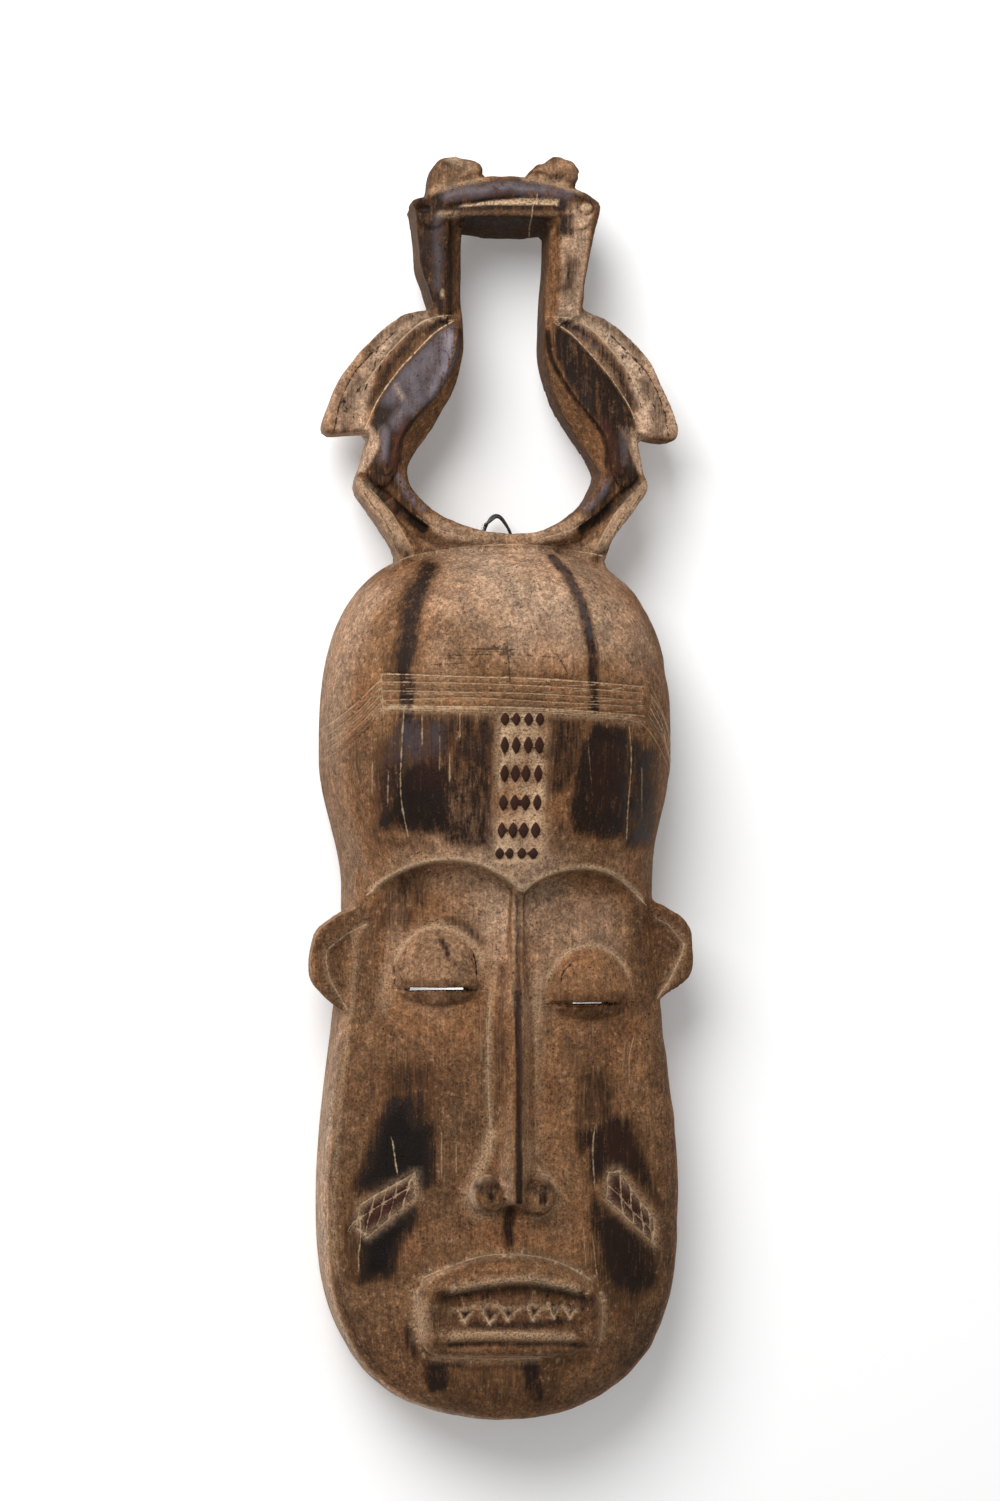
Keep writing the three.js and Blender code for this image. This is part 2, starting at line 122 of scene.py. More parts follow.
def smooth_line(line, closed=False, steps=5):
    """Points along a smooth line through the given ones."""
    p = np.array(points(line) if isinstance(line, str) else line, float)
    p = np.vstack([p[-1:], p, p[:2]]) if closed else np.vstack([2 * p[0] - p[1], p, 2 * p[-1] - p[-2]])
    t = np.linspace(0, 1, steps, endpoint=False)[:, None]
    runs = [0.5 * (2 * b + (c - a) * t + (2 * a - 5 * b + 4 * c - d) * t ** 2
                   + (3 * b - a - 3 * c + d) * t ** 3) for a, b, c, d in zip(p[:-3], p[1:-2], p[2:-1], p[3:])]
    return np.vstack(runs if closed else runs + [p[-2:-1]])


def window(line, margin):
    """The part of a chart that holds a line and a margin round it."""
    low, high = line.min(0) - margin, line.max(0) + margin
    columns = slice(*np.searchsorted(chart_x, (low[0], high[0])))
    return slice(*np.searchsorted(chart_y, (low[1], high[1]))), columns


def distance(line, place, closed=False):
    """Distance to a line over a part of a chart: below zero on its right, or outside a closed one."""
    x, y = all_x[place], all_y[place]
    nearest = np.full(x.shape, 1e9)
    above = np.zeros(x.shape, bool)
    ends = np.roll(line, -1, 0) if closed else line[1:]
    for (ax, ay), (bx, by) in zip(line, ends):
        dx, dy = bx - ax, by - ay
        along = np.clip(((x - ax) * dx + (y - ay) * dy) / max(dx * dx + dy * dy, 1e-9), 0, 1)
        apart = (x - ax - along * dx) ** 2 + (y - ay - along * dy) ** 2
        if not closed:
            above = np.where(apart < nearest, dx * (y - ay) > dy * (x - ax), above)
        elif ay != by:
            above ^= ((ay > y) != (by > y)) & (x < ax + (y - ay) * dx / dy)
        nearest = np.minimum(nearest, apart)
    return np.where(above, 1, -1) * np.sqrt(nearest)


def add_plan(plan, outline, steps):
    """Adds the inside of an outline to a plan, a chart of distances, and gives the part of it that holds it."""
    line = smooth_line(outline, closed=True, steps=steps)
    place = window(line, 6)
    plan[place] = np.maximum(plan[place], distance(line, place, closed=True))
    return place


def read(chart, x, y):
    """A chart's value at any places, between its points."""
    column = np.clip((x - chart_x[0]) / CHART_STEP, 0, chart_size[1] - 1.001)
    row = np.clip((y - chart_y[0]) / CHART_STEP, 0, chart_size[0] - 1.001)
    i, j = row.astype(int), column.astype(int)
    u, v = row - i, column - j
    low = chart[i, j] * (1 - v) + chart[i, j + 1] * v
    high = chart[i + 1, j] * (1 - v) + chart[i + 1, j + 1] * v
    return low * (1 - u) + high * u


chance = np.random.default_rng(11)


def swells(wide, long):
    """Random swells of one size in mm across and along the mask, with a mean of 0 and a spread of 1."""
    across = np.fft.rfftfreq(chart_size[1], CHART_STEP)[None] * wide
    along = np.fft.fftfreq(chart_size[0], CHART_STEP)[:, None] * long
    keep = np.exp(-2 * math.pi ** 2 * (across ** 2 + along ** 2))
    made = np.fft.irfft2(np.fft.rfft2(chance.standard_normal(chart_size)) * keep, chart_size)
    return made / made.std()


# The head's plan: half widths along it, and the heights of the forehead and of the face. It is
# narrow at the waist, round above the temples, and round again below its widest place, at the chin.
WAIST, TEMPLES, TOP_LONG = -43, 12, 90
WIDEST, CHIN_LONG, CHIN_ROUND = -175, 89, 2.6


def half_width(y):
    temples = blend(64.5, 74, ease(y, WAIST, TEMPLES))
    cheeks = blend(75.6, 64.5, ease(y, WIDEST, WAIST))
    return np.where(y > WAIST, temples, cheeks)


def forehead_form(x, y, z):
    wide = np.clip((y - TEMPLES) / TOP_LONG, 0, None)
    high = np.clip((y - 25) / 77, 0, None)
    rise = 86 - 13 * np.clip((25 - y) / 67, 0, 1.2) ** 2
    across = (np.abs(x) / half_width(y)) ** 2.8
    up = (np.maximum(z, 0) / rise) ** 2.8
    end = (across * wide ** 2.85 + up * high ** 2.8 + 1e-6 * wide) / (across + up + 1e-6)
    return 78 * ((across + up + end) ** (1 / 2.8) - 1)


def face_height(x, y):
    chin = np.clip((WIDEST - y) / CHIN_LONG, 0, 0.99)
    across = np.minimum(np.abs(x) / (half_width(y) * (1 - chin ** CHIN_ROUND) ** (1 / CHIN_ROUND)), 1)
    return 47 + 14 * (1 - across ** 2)


def face_form(x, y, z):
    chin = np.clip((WIDEST - y) / CHIN_LONG, 0, None)
    across = np.abs(x) / half_width(y)
    top = np.clip((y - TEMPLES) / TOP_LONG, 0, None)
    upper = (across ** 2.85 + top ** 2.85) ** (1 / 2.85)
    lower = (across ** CHIN_ROUND + chin ** CHIN_ROUND) ** (1 / CHIN_ROUND)
    plan = np.where(y < WIDEST, lower, upper)
    roundness = blend(8, 2.8, ease(y, -70, 5))
    rise = face_height(x, y) * (1 - 0.6 * ease(y, 5, 80))
    up = np.maximum(z, 0) / rise
    return 60 * ((plan ** roundness + up ** roundness) ** (1 / roundness) - 1)


# Brow: two arches that meet over the nose; the forehead stands above the face behind them
BROW_LEFT = points(
    "-98,-66 -80,-60 -63,-50.8 -58.1,-45.1 -54,-41.1 -47.9,-36.2 -39.7,-32.1 -29.4,-29.7 -19.1,-30.2 "
    "-10.9,-32.6 -2.6,-37.2 4,-42.6")
BROW_RIGHT = points(
    "4,-42.6 9.8,-38.3 18.1,-34.8 28.5,-33.2 36.8,-34.1 45.1,-37.4 53.4,-43.6 58.4,-48.1 64,-53 80,-62 "
    "98,-68")
brow_line = np.vstack([smooth_line(BROW_LEFT), smooth_line(BROW_RIGHT)[1:]])
above_brow = distance(np.vstack([brow_line, points("98,200 -98,200")]), EVERYWHERE, closed=True)

# Forms that stand on the face plane, as heights over it
lift = np.zeros(chart_size)

NOSE_TOP, NOSE_END = -44, -170
down = np.clip((NOSE_TOP - all_y) / (NOSE_TOP - NOSE_END), 0, 1)
ridge_x = blend(2.6, 1.8, down)
nose_ends = ease(all_y, NOSE_END - 3.5, NOSE_END + 1) * ease(-all_y, -NOSE_TOP - 6, -NOSE_TOP)
nose_rise = blend(4, 15, down ** 0.7) * nose_ends
left_foot = np.interp(all_y, [-150, -129, -90, -79, -59, -44], [9.2, 9.5, 11, 9.5, 4.6, 3.4])
right_foot = np.interp(all_y, [-151, -111, -79, -59, -44], [9.8, 9.8, 8.2, 6.2, 4])
aside = np.abs(all_x - ridge_x)
foot = np.where(all_x < ridge_x, left_foot, right_foot)
flank = np.clip((foot - aside) / (foot - 2.1), 0, 1)
lift = np.maximum(lift, nose_rise * flank ** 1.25)

NOSTRILS = [(-9.6, -167), (11.8, -168.4)]
for x, y in NOSTRILS:
    out = np.hypot((all_x - x) / 7.6, (all_y - y) / 8.2)
    knob = 14.2 * np.sqrt(np.clip(1 - out ** 2.3, 0, 1))
    lift = -nearer(-lift, -knob, 3.5)
    pit = np.hypot(all_x - x - 0.7, (all_y - y + 0.6) * 0.7)
    lift = lift - 1.5 * np.exp(-(pit / 1.6) ** 2)

# x and y of each eye's slit, how far it is cut, and how far it is cut through
EYES = [(-29.2, -82.5, 17.6, 11.7, 1.1), (33.6, -88.8, 15.8, 7.6, 0.8)]
LID_HALF = 20.5
LIDS_ABOVE = [27, 25]
LID_BELOW = 9.5
for (x, y, cut_half, *rest), above in zip(EYES, LIDS_ABOVE):
    over = all_y > y
    out = ((all_x - x) / LID_HALF) ** 2 + ((all_y - y) / np.where(over, above, LID_BELOW)) ** 2
    dome = np.where(over, 14.5, 11) * np.sqrt(np.clip(1 - out, 0, 1)) - 5
    lift = -nearer(-lift, -dome, 1.2)
    slit = np.maximum(np.abs(all_x - x) - cut_half, 0) ** 2 + (np.abs(all_y - y + 0.3) * 1.3) ** 2
    lift = lift - 3.4 * np.exp(-(slit / 1.2 ** 2) ** 2)

MOUTH_OUTLINE = points(
    "-39.1,-207.5 -35.3,-201.4 -26.3,-197.5 -14.3,-193.3 -4.2,-191.9 7.8,-192.6 17.9,-194.8 26,-198.4 "
    "34.1,-203.5 38.4,-210.9 39.4,-218.9 38.4,-228.9 33,-234.6 12.1,-235.2 -8,-235 -30.1,-234.4 -36.6,-229 "
    "-38.6,-217.5")
UPPER_LIP_EDGE = points(
    "-32.6,-206.6 -22.3,-205.1 -14.3,-203.7 -6.2,-202.4 1.8,-201.7 9.9,-202.3 17.9,-203.8 26,-205.9 "
    "34.4,-209.2")
LOWER_LIP_EDGE = points("34.4,-226 22,-224.4 6.8,-223.5 -8.2,-222.8 -22.3,-223 -32.6,-223.8")
mouth_outline = smooth_line(MOUTH_OUTLINE, closed=True, steps=3)
mouth_opening = smooth_line(UPPER_LIP_EDGE + LOWER_LIP_EDGE, closed=True, steps=3)
place = window(mouth_outline, 6)
mouth_edge = distance(mouth_outline, place, closed=True)
opening_edge = distance(mouth_opening, place, closed=True)
lips = 8.4 * np.sqrt(ease(mouth_edge, -0.4, 6)) + 1.2 * np.exp(-(opening_edge / 2.4) ** 2)
trough = 0.4 * ease(opening_edge, -0.6, 1.6) * ease(all_y[place], -218, -206)
trough += 3.6 * ease(opening_edge, -2, 5.4)
trough *= 0.2 + 0.8 * ease(36 - np.abs(all_x[place] - 1), 0, 16)
lower_groove = distance(smooth_line("-30,-229 -8,-227.8 5,-228.3 22,-228.6 31,-230.4"), place)
lips = lips - trough - 1.7 * np.exp(-(lower_groove / 1.7) ** 2)
lift[place] = -nearer(-lift[place], -lips, 1.5)

# Charts of the fine cuts, and of what the surface is like
grooves, steps_down, patina_and_shade, pale, red, tone, line_dust_and_shade, painted_sheen = (np.zeros(chart_size) for _ in range(8))
stud, line_gap = np.full(chart_size, -0.6), np.full(chart_size, 9.0)


def stain(chart, line, amount, half, soft):
    """Puts a stain with a soft edge along a line of some half width; inside a closed one, if that is 0. It also
    lays painted sheen and painted shade.
    """
    line = np.array(points(line))
    place = window(line, half + 2 * soft + 1)
    gap = distance(line, place, closed=not half)
    share = 1 - ease(np.abs(gap), half - soft / 2, half + soft) if half else ease(gap, -soft, soft)
    chart[place] = np.maximum(chart[place], amount * share)


def shade(line, lightness, soft):
    """Sets how light the wood is inside a closed line."""
    line = np.array(points(line))
    place = window(line, 2 * soft)
    share = ease(distance(line, place, closed=True), -soft, soft)
    tone[place] = blend(tone[place], lightness, share)


def dust(line, amount):
    """Marks a thin line of pale dust, or a dark line where the amount is below zero: dirt, and under the eye
    slits painted shade.
    """
    line = np.array(points(line))
    place = window(line, 3)
    gap = distance(line, place)
    closer = np.abs(gap) < np.abs(line_gap[place])
    line_gap[place] = np.where(closer, gap, line_gap[place])
    line_dust_and_shade[place] = np.where(closer, amount * (1 - ease(np.abs(gap), 0.6, 1.2)), line_dust_and_shade[place])


def incise(line, half, depth, amount):
    """Cuts a V groove along a line, with dust in it."""
    line = np.array(points(line))
    place = window(line, 3 * half)
    gap = distance(line, place)
    grooves[place] = np.minimum(grooves[place], -depth * np.exp(-(gap / half) ** 2))
    if amount:
        dust(line, amount)


# Five lines across the forehead, which fall away on each side, and the step under them
for first, last in (
        ("-53.2,46.2 -20,45.4 10,44.6 54,41.6", "-53.2,32.8 -20,33.4 10,32.4 54,30"),
        ("-53.5,45 -63,34.5 -75.5,22.5", "-53,33 -62,23 -75.5,10"),
        ("59.3,41.1 66,31 72.5,19", "57.5,30 66,18.5 72.5,6")):
    for share in np.linspace(0, 1, 5):
        route = blend(np.array(points(first)), np.array(points(last)), share)
        incise(smooth_line(route + chance.normal(0, 0.3, route.shape)), 0.75, 0.8, chance.uniform(0.35, 0.65))
incise("-53.6,46 -53.2,32.5", 0.7, 0.7, 0.4)
under_band = smooth_line(
    "-74,11 -60.3,23.9 -53.1,31.6 -39.2,31.8 -12.2,31 11,30.8 31.4,29.2 49,27.6 57.8,23 72,4")
below = distance(np.vstack([under_band, points("74,-80 -74,-80")]), EVERYWHERE, closed=True)
steps_down -= ease(below, -0.8, 0.8) * ease(all_y, -28, 4)
dust(under_band, 0.4)
stain(pale, under_band[8:-8], 0.4, 0.6, 1.8)
for line in ("-27.2,53.8 -5,54.2 16.2,53.2", "-20,56.5 0,56.2", "-3.4,59.3 -2.8,43",
             "-9,57.5 -3.2,55", "17,54 19,50.5 21,47", "-34,50 -22,50.6"):
    dust(smooth_line(line), -0.6)

# Stud band: six rows of four lozenges left standing in a ground that is cut away and pale
STUD_ROWS = [(28, -4.6, 0, 5.1, 9.7, 5.4), (17.4, -4.7, 0, 5, 9.5, 7),
             (5.9, -4.6, -0.2, 4.1, 9.2, 7.2), (-5.9, -4.9, -0.3, 4.1, 9, 6.6),
             (-17.2, -5.4, -0.8, 3.6, 8.5, 6.6), (-26.7, -6, -1.9, 3.1, 7.9, 4.8)]
band = np.array(points("-8,33 13,33 11.6,-31 -9.4,-31"))
place = window(band, 4)
ground = ease(distance(band, place, closed=True), -0.2, 2.2)
for y, *columns, long in STUD_ROWS:
    for x in columns:
        across = np.abs(all_x[place] - x) / chance.uniform(1.8, 2.1)
        along = np.abs(all_y[place] - y) / (0.53 * long)
        stud[place] = np.maximum(stud[place], 1 - (across ** 1.35 + along ** 1.35) ** (1 / 1.35))
standing = ease(stud[place], -0.12, 0.3)
steps_down[place] = np.minimum(steps_down[place], 0) - 1.1 * ground * (1 - standing)
worn_edge = ease(distance(band, place, closed=True), -2, 3)
worn_edge = worn_edge * (1 + 0.3 * swells(3, 6)[place] + 0.3 * swells(1.2, 2)[place])
pale[place] = np.maximum(pale[place], 0.5 * worn_edge * (1 - standing))

# Scars: a patch of two rows of cells on each cheek, marked off by pale cuts. Each has its outline,
# the cut along its middle and the strokes across it.
SCARS = [("-38.9,-158.6 -38.6,-168.6 -58.1,-184.8 -62,-181.5 -60.7,-172",
          "-65.4,-182.4 -61.4,-178 -38.6,-162.8",
          ("-39.6,-159.3 -43.6,-171.6", "-45.1,-161.9 -49.1,-176", "-49.9,-164.9 -53.8,-180",
           "-55.1,-168.5 -58.8,-184.4", "-60.5,-178 -61.6,-198")),
         ("42,-159.4 46.5,-158.9 61.6,-179.2 62.3,-190.2 41,-170.4", "42,-164.9 61.6,-185.2",
          ("46.8,-160 48.2,-176.6", "51.2,-166.4 52.8,-181", "55.8,-172 57.2,-185.4", "59.6,-177 61.4,-190"))]


def unsteady(line):
    """The same line as an unsteady hand cuts it."""
    line = smooth_line(line, steps=4)
    return line + chance.normal(0, 0.22, line.shape)


for outline, middle, strokes in SCARS:
    outline = points(outline)
    place = window(np.array(outline), 5)
    inside = ease(distance(np.array(outline), place, closed=True), -0.4, 0.8)
    red[place] = np.maximum(red[place], 0.8 * inside)
    patina_and_shade[place] = np.maximum(patina_and_shade[place], 0.9 * inside)
    for start, end in zip(outline, outline[1:] + outline[:1]):
        incise(unsteady([start, end]), 0.75, 0.8, chance.uniform(0.3, 0.55))
    stain(pale, outline + outline[:1], 0.34, 0.9, 2.6)
    incise(unsteady(middle), 0.75, 0.8, 0.5)
    for stroke in strokes:
        incise(unsteady(stroke), 0.7, 0.7, chance.uniform(0.3, 0.6))


def oval(x, y, wide, high, *degrees):
    """Points on an oval round a place, from one angle to another in even steps."""
    turn = np.radians(np.arange(*degrees))
    return np.stack([x + wide * np.cos(turn), y + high * np.sin(turn)], 1)


# Brow edge, eyelid rims, lips, teeth, nose and ears: worn edges and the dust along them, and some painted shade
# and sheen, noted where they are laid
dust(brow_line[16:-14], 0.9)
stain(pale, brow_line[18:-16] + [0, 0.6], 0.95, 0.6, 1.5)
for (x, y, *rest), above in zip(EYES, LIDS_ABOVE):
    rim = oval(x, y, 0.96 * LID_HALF, 0.95 * above, 8, 176, 6)
    incise(rim, 1.0, 0.4, 0.2)
    stain(pale, rim[3:-3], 0.62, 0.5, 1.6)
    stain(pale, points("-21,8 -22,-1 -22,-8", x, y), 0.3, 1.4, 3.4)
    # Painted shade along each slit: a dark band on the lid above it, a dark line under it and a dark crescent
    # where the lower lid faces down
    dust(points("-18.5,-0.5 18.5,-0.5", x, y), -0.9)
    stain(patina_and_shade, points("-18,-1 19,-1 15,-6 0,-8 -13,-6", x, y), 0.45, 0, 1.4)
    stain(patina_and_shade, points("-14,2.4 15,2.4", x, y), 0.44, 1.4, 3)
for edge, lower in ((UPPER_LIP_EDGE, 0), (LOWER_LIP_EDGE, 1.4)):
    dust(smooth_line(edge)[8:-8], 0.3)
    stain(pale, smooth_line(points(edge, y=-lower))[4:-4], 0.6, 1, 2.4)
for edge, amount in ((MOUTH_OUTLINE[1:9], 0.3), (MOUTH_OUTLINE[9:12], 0.5), (MOUTH_OUTLINE[13:16], 0.4),
                     (MOUTH_OUTLINE[16:] + MOUTH_OUTLINE[:1], 0.2)):
    dust(smooth_line(edge), amount)
    stain(pale, smooth_line(edge), 0.8 * amount, 0.8, 2.4)
TEETH = [(-19, -219.2), (-9, -219.8), (-1.2, -218.6), (9, -218.6), (17.9, -218), (24.6, -218.4)]
for x, y in TEETH:
    wide, high = chance.uniform(2.2, 3), chance.uniform(4.4, 6.4)
    place = window(np.array([(x - 5, y - 2), (x + 5, y + high + 2)]), 0)
    u, v = np.abs(all_x[place] - x), all_y[place] - y
    tooth = np.minimum(wide * v / high - u, high - v)
    steps_down[place] = np.maximum(steps_down[place], 1.3 * ease(tooth, -0.2, 1.1))
    stain(pale, unsteady([(x - wide + chance.uniform(-0.8, 0.8), y + high), (x, y)]), 0.75, 0.3, 0.9)
    stain(pale, unsteady([(x, y), (x + wide + chance.uniform(-0.8, 0.8), y + high - 2)]), 0.75, 0.3, 0.9)
    dust(points("-1.2,2.4 0,0 1.2,2.4", x, y), 0.5)
    stain(patina_and_shade, points("-0.4,5 0,3.4", x, y), 1.1, 0.6, 1)
stain(pale, unsteady("-24,-214.4 -12,-213 2,-214 9,-213.2 28,-215.6"), 0.45, 0.4, 1.4)
stain(pale, "-37,-212 -36,-226", 0.45, 1.5, 4)
for x, y in zip(chance.uniform(-24, 30, 40), chance.uniform(-219, -208, 40)):
    stain(patina_and_shade, [(x, y), (x + chance.uniform(-1, 1), y + 1)], chance.uniform(0.5, 1), 0.3, 0.9)
for x, y in chance.permutation(np.vstack([mouth_outline, mouth_outline, mouth_opening]))[:60]:
    x, y = x + chance.normal(0, 1), y + chance.normal(0, 1)
    stain(pale, points("0,0 0.6,0.3", x, y), chance.uniform(0.6, 1.2), 0.2, 0.7)
dust(smooth_line("-22,-234.4 -10,-233.6 2,-234 18,-234.6"), 0.3)
dust(smooth_line("-7.6,-86 -8.9,-100 -8.9,-120 -7.8,-150"), 0.3)
incise("1.3,-172.5 0.8,-180 1.5,-188", 2.4, 1.3, 0)
for row in (
        # The first row is a painted shadow under the upper lip, laid as patina
        (patina_and_shade, "-29,-209 -10,-206 3,-205 16,-206.4 33,-211", 0.72, 1.4, 5),
        (patina_and_shade, "-16,-219.6 -10,-220.6 14,-220.4 26,-220", 0.75, 1.1, 3),
        (patina_and_shade, smooth_line("-22,-195.6 0,-192.4 14,-193.6 30,-200"), 0.5, 2, 4),
        (patina_and_shade, smooth_line("-25,-228.3 -8,-227.8 5,-228.3 22,-228.6 31,-230.4"), 0.74, 0.8, 2),
        (pale, "-6,-66 -8.4,-92 -8.8,-120 -7.6,-150", 0.42, 0.5, 1.8),
        (pale, "-7.6,-142 -10,-152 -14,-159", 0.7, 1.2, 3),
        (pale, "7.4,-146 8,-156 15,-160", 0.5, 1, 3), (pale, "10.2,-80 11.8,-111 11.6,-151", 0.4, 0.5, 2),
        (pale, "6,-90 6.4,-120 6.6,-158", 0.25, 1, 3), (patina_and_shade, "-3.4,-74 -4.4,-100 -4.6,-128", 0.44, 1.6, 3),
        # Painted sheen: a grey painted highlight down the nose's left flank
        (painted_sheen, "-4,-76 -4.8,-110", 0.34, 1.2, 2.4), (patina_and_shade, "13,-84 14.4,-100", 0.4, 1.6, 4),
        (patina_and_shade, "2.6,-43 2.8,-60 2.8,-90", 0.62, 0.9, 2), (red, "3.4,-76 3,-120 2.6,-140", 0.5, 0.7, 1.2),
        (patina_and_shade, "3,-84 2.5,-98 2.9,-116 2.2,-138 2.4,-169", 1.1, 1.0, 1.3),
        (patina_and_shade, "0.4,-174 -0.6,-181 0,-187", 0.68, 2, 3.4)):
    stain(*row)
for x, y in NOSTRILS:
    stain(pale, oval(x, y, -math.copysign(8.3, x), 8.8, 110, 300, 15), 0.4, 0.5, 2)
    for chart, line, *sizes in (
            (patina_and_shade, "-3,4.4 2,4.8", 0.7, 2.2, 4.5), (patina_and_shade, "0.6,1.6 0.8,-0.8", 0.95, 1.1, 2.2),
            (patina_and_shade, "-5,-6.6 4.6,-6.8", 0.5, 0.8, 2),
            (pale, smooth_line("-6,-8 0,-9.6 6,-8.4"), 0.5, 0.3, 1.2)):
        stain(chart, points(line, x, y), *sizes)

# Ears: plates with a dished front inside a fold
EAR_FRONT = 42.6
EAR_OUTLINES = [points("-52,-46 -61.3,-50.3 -67.9,-52.3 -72.5,-55.6 -77.9,-60.5 -80.6,-69.6 -80.6,-77.9 "
                       "-78.3,-83.3 -73.7,-88.3 -67.9,-92.5 -62,-96 -52,-98"),
                points("52,-44 64.8,-48.8 69.5,-50.9 75.4,-55.1 79.5,-60.2 80.6,-68.6 80.6,-74.9 79.2,-79.1 "
                       "75.4,-83.2 68.6,-87 62,-92 52,-96")]
EAR_FOLDS = [points("-58,-56.6 -66,-61 -74,-67.4 -74.2,-72.5 -72.7,-79.3 -65.7,-91.8"),
             points("64,-54.6 69.5,-57.4 76.6,-65.7 75.3,-70.4 69.4,-82.5 65,-88")]
ear_plan = np.full(chart_size, -9.0)
ear_front = np.full(chart_size, EAR_FRONT)
for outline, fold in zip(EAR_OUTLINES, EAR_FOLDS):
    place = add_plan(ear_plan, outline, 4)
    side = np.sign(outline[0][0])
    dish = distance(np.vstack([fold, [(side * 50, fold[-1][1]), (side * 50, fold[0][1])]]), place, closed=True)
    ear_front[place] = EAR_FRONT - 3.2 * ease(dish, -0.5, 3)
    incise(fold, 0.9, 0.6, 0.35)
    stain(pale, fold, 0.4, 0.4, 1.6)

# Crest: outline, opening and the height of each carved plane of the two birds
crest_outline = smooth_line(
    "-38.6,243.2 -37,238.2 -35.3,221.8 -33.6,213.4 -31.1,205 -29.9,199.6 -36.1,198.4 -42.1,196.2 -48,192.4 "
    "-57.7,183.4 -64.9,175 -69.5,166.6 -74.1,154 -74.6,149.4 -73.2,147.2 -68.7,147.1 -55.8,148.1 -56.9,141.5 "
    "-58.5,134.5 -60.9,128.9 -61.3,125.5 -59.2,121.3 -49.7,107.9 -45.9,101.2 -43,94 -40,84 40,84 43,94 "
    "46.5,103.6 49.9,108.4 58.9,120.7 61,125 60.3,129.2 57.6,141.5 57,148.1 61,146.8 68.2,145.5 73.2,146 "
    "74.6,149.8 73.8,154.3 70.8,162.7 64.4,175.2 61.4,179.6 54.2,187.8 49.1,192 42.3,196 33.5,199.6 "
    "33.5,204.3 35.9,221 40.2,238 41,243.6 38,246.4 34.2,248.9 25.7,252 17.2,254 8.7,255.1 0.2,255.3 "
    "-8.2,254.5 -16.7,252.6 -25.1,249.3 -33.6,245.2", closed=True, steps=3)
opening_outline = smooth_line(
    "-17.2,233.4 -17.2,233.4 -16.9,228.6 -16.9,200.4 -16.4,185.7 -17.7,175 -20.1,166.7 -24,158.3 -29,149.8 "
    "-37.9,137 -39.9,132.9 -39.9,128.7 -38.3,124.4 -35,120.3 -30.3,116 -24,112 -13,108 0,106 10,105.6 "
    "18,107.5 26,111.6 31.5,115.6 35.8,120.1 38.3,124.5 40.2,128.7 40.2,132.9 35.6,141.3 32.6,145.4 "
    "24.8,157.9 20.8,166.3 18.1,176.7 17.1,189.3 19.2,225 19.4,233.2 19.4,233.2 2,231.6",
    closed=True, steps=3)
place = window(np.array(points("-82,80 82,264")), 0)
crest_plan = np.full(chart_size, -20.0)
opening_plan = distance(opening_outline, place, closed=True)
crest_plan[place] = np.minimum(distance(crest_outline, place, closed=True), -opening_plan)

crest_front = np.full(chart_size, 34.0)


def plane(outline, height, slope):
    """A carved plane of the crest, which falls away at a slope outside its outline."""
    gap = distance(smooth_line(outline, closed=True, steps=3), place, closed=True)
    height = height(all_x[place], all_y[place]) if callable(height) else height
    crest_front[place] = np.maximum(crest_front[place], height + slope * np.minimum(gap, 0))


def fall(x, y):
    """How far a place of a body lies down its slope."""
    return 0.85 * (np.abs(x) - 35) + 0.53 * (y - 172)


# The planes of the left-hand bird, which are mirrored for the other: outline, height and slope
WING = points(
    "-22,197.6 -36.1,199.4 -48,193.4 -58,184.4 -65.5,175.4 -73.6,158 -76,147 -55.5,146.5 -52,158 -44,170 "
    "-34,182 -24,190")
BODY = points(
    "-20.5,193.6 -20.2,187 -21.2,179.5 -24.6,171.5 -30.6,161.3 -38,153.2 -42.6,147 -45.4,139 -46.6,132 "
    "-50,130 -52,138 -52.4,146 -55.6,150.6 -53.4,160 -44.6,172 -37.4,180.2 -28.8,188.8")
NECK = points("-23.4,236 -23.6,212 -23,196 -31,197 -33,207 -35,221 -37.5,243 -26,246")
THIGH = points("-44.6,150 -56.5,148.4 -58.8,136 -60.8,128.6 -54,124.6 -46,130")
SHIN = points("-65,128 -60.4,129.4 -55,123.4 -49,117 -44.7,110.8 -37,97 -46,92 -54,104 -60,114")
FOOT = points(
    "-43.6,135 -41.4,129 -39.4,124.6 -36,120.6 -31,116.2 -24.6,112 -13.6,108 0,106 0,100.4 -16,102 -28,105.6 "
    "-37,111 -44,118.4 -49.4,126 -49,134")
WEB = points("-50,112 -42,113 -26,103.6 -40,96 -46,100")
BEAK_FRONT = points(
    "-28,237.9 -18.3,238.8 0,239.6 15.3,239.8 25.9,239.6 27,245 18,247.4 0,248.2 -18,246.6 -28,243.4")
HEAD_SIDE = points("-38,242 -36,236 -30,232.6 -25,236 -26,246 -32,246.4")
PLANES = [(WING, lambda x, y: 42 - 0.13 * np.maximum(np.abs(x) - 40, 0), 3),
          (BODY, lambda x, y: 46.5 - 0.2 * (fall(x, y) + 9) - 0.012 * fall(x, y) ** 2, 1.25),
          (NECK, lambda x, y: 45 - 0.12 * np.abs(np.abs(x) - 26), 1.5),
          (THIGH, lambda x, y: 44.8 - 0.75 * np.maximum(np.abs(x) - 50, 0), 1.6),
          (SHIN, lambda x, y: 41.6 - 0.3 * np.maximum(0.82 * (np.abs(x) - 49) - 0.57 * (y - 113.5), 0), 1.3),
          (FOOT, lambda x, y: 43.4 - 0.03 * (126 - y), 1.5), (WEB, 36.4, 2), (HEAD_SIDE, 45.8, 1.4)]
for outline, height, slope in PLANES:
    for side in (1, -1):
        plane(points(outline, side=side), height, slope)
plane(BEAK_FRONT, lambda x, y: 47 - 0.0022 * x ** 2, 0.9)
under_beak = 45.6 + 5 * (all_y - 237.4)
